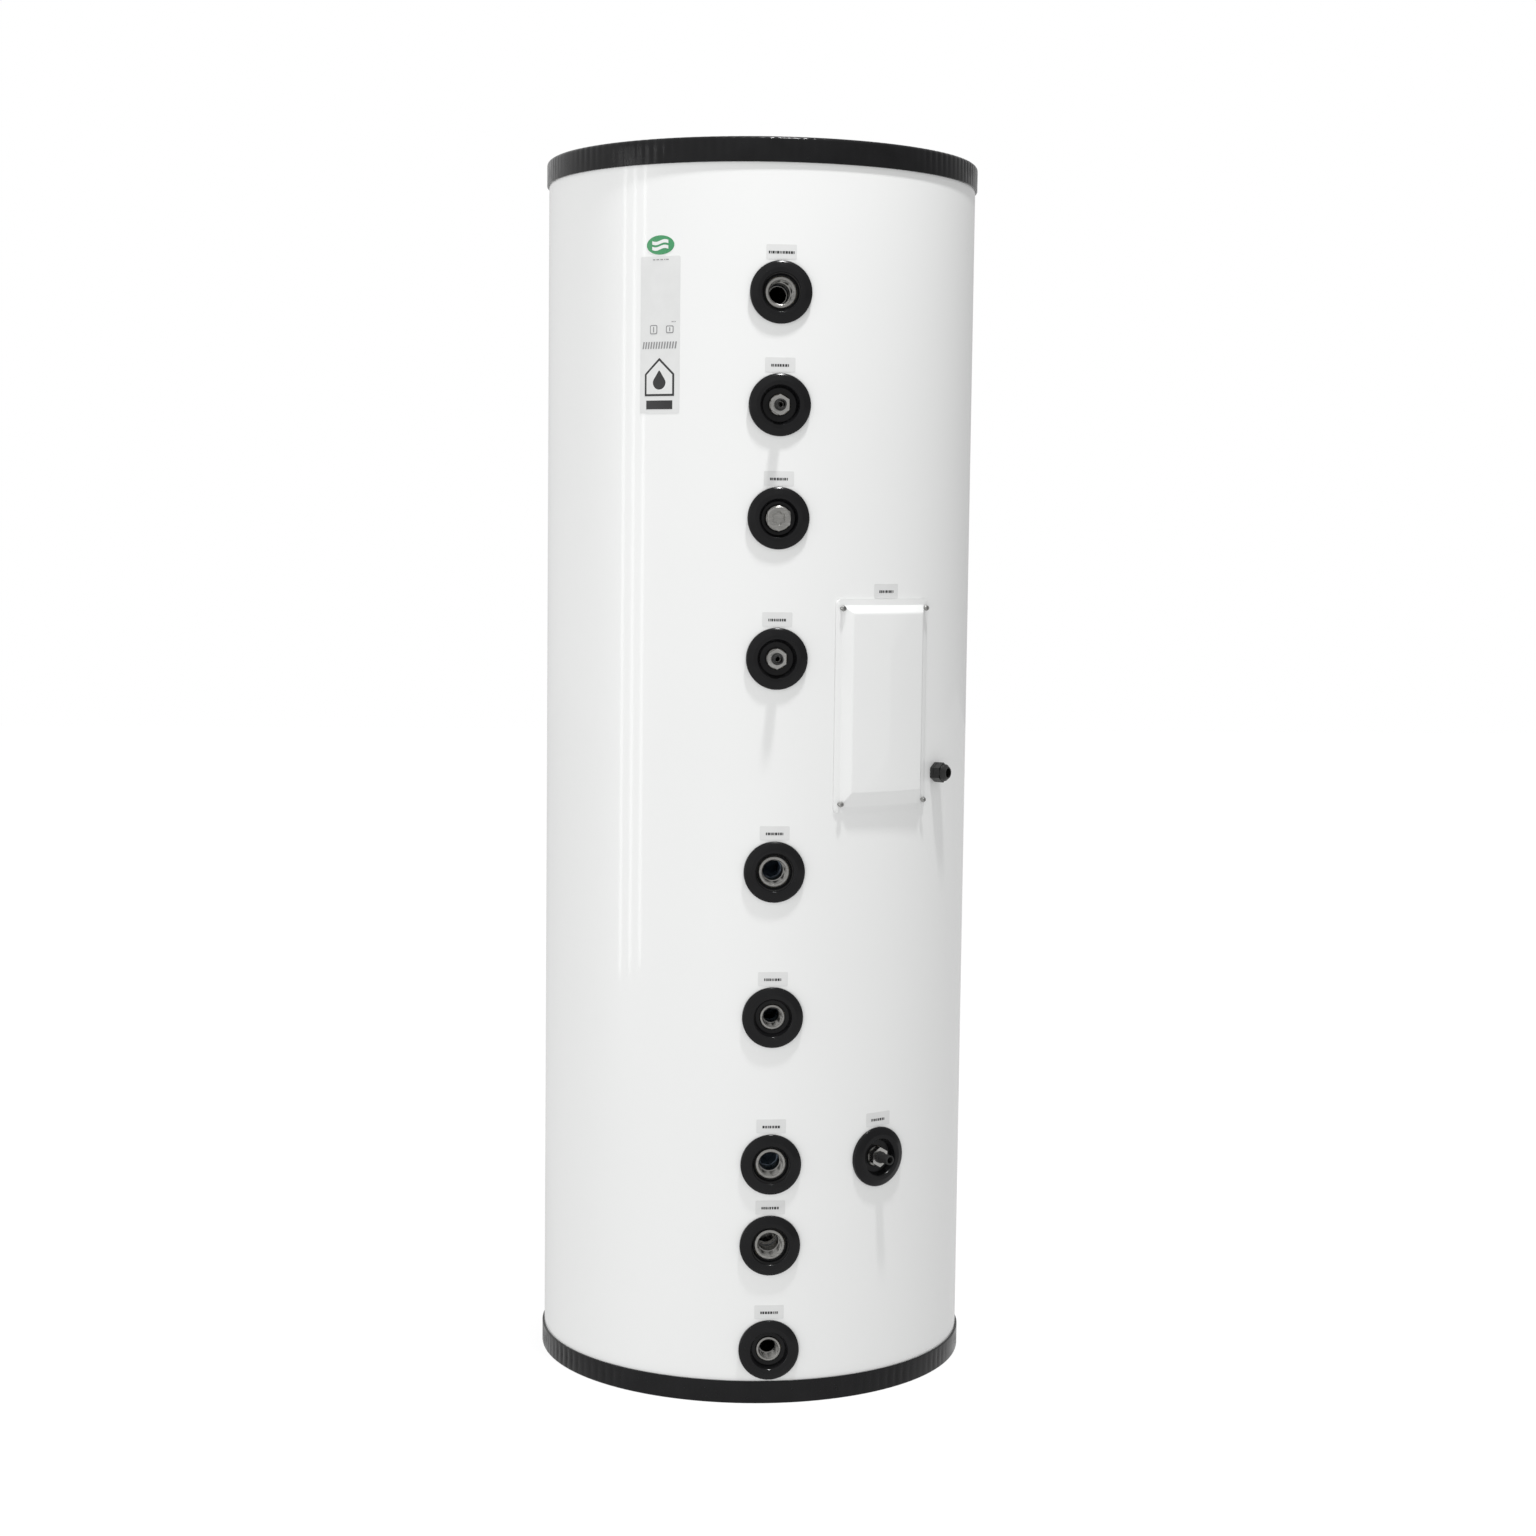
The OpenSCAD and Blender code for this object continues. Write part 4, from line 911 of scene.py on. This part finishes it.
def add_lamp(name, kind, location, power, target=(0, 0, 0.9), **settings):
    data = bpy.data.lights.new(name, kind)
    data.energy = power
    for key, value in settings.items():
        setattr(data, key, value)
    lamp = bpy.data.objects.new(name, data)
    lamp.location = location
    aim = Vector(target) - Vector(location)
    lamp.rotation_euler = aim.to_track_quat("-Z", "Y").to_euler()
    bpy.context.scene.collection.objects.link(lamp)
    return lamp


def build_lamps():
    """A lamp overhead, a low fill that isn't mirrored, and three upright strips to the left."""
    add_lamp("ceiling", "POINT", CEILING_LAMP, CEILING_POWER, shadow_soft_size=0.12)
    fill = add_lamp("low_fill", "AREA", FILL_LAMP, FILL_POWER, FILL_TARGET, shape="RECTANGLE",
                    size=FILL_W, size_y=FILL_H)
    fill.visible_glossy = False
    for step in range(3):
        location = (WINDOW_X, WINDOW_Y - WINDOW_STEP * step, WINDOW_Z)
        add_lamp(f"window_{step}", "AREA", location, WINDOW_POWER, WINDOW_TARGET,
                 shape="RECTANGLE", size=WINDOW_W, size_y=WINDOW_H)


def build_camera():
    """Yaw turns the view to the right, pitch tilts it down and roll turns the picture."""
    yaw, pitch, roll = map(math.radians, (CAMERA_YAW, CAMERA_PITCH, CAMERA_ROLL))
    forward = Vector((math.sin(yaw) * math.cos(pitch), math.cos(yaw) * math.cos(pitch),
                      -math.sin(pitch)))
    right = Vector((math.cos(yaw), -math.sin(yaw), 0))
    up = right.cross(forward)
    across = right * math.cos(roll) + up * math.sin(roll)
    upward = up * math.cos(roll) - right * math.sin(roll)
    data = bpy.data.cameras.new("camera")
    data.lens = CAMERA_LENS
    data.sensor_width = SENSOR_W
    camera = bpy.data.objects.new("camera", data)
    turn = Matrix((across, upward, -forward)).transposed().to_4x4()
    camera.matrix_world = Matrix.Translation(CAMERA_PLACE) @ turn
    bpy.context.scene.collection.objects.link(camera)
    bpy.context.scene.camera = camera
    bpy.context.scene.view_settings.view_transform = "Standard"


build_jacket()
build_top_cap()
build_base_tray()
for port_name in PORT_SIZES:
    build_rosette(port_name)
    build_socket(port_name)
build_anode_head()
build_cover()
build_labels()
build_rating_plate()
build_badge()
dress_frame()
build_floor()
build_world()
build_lamps()
build_camera()
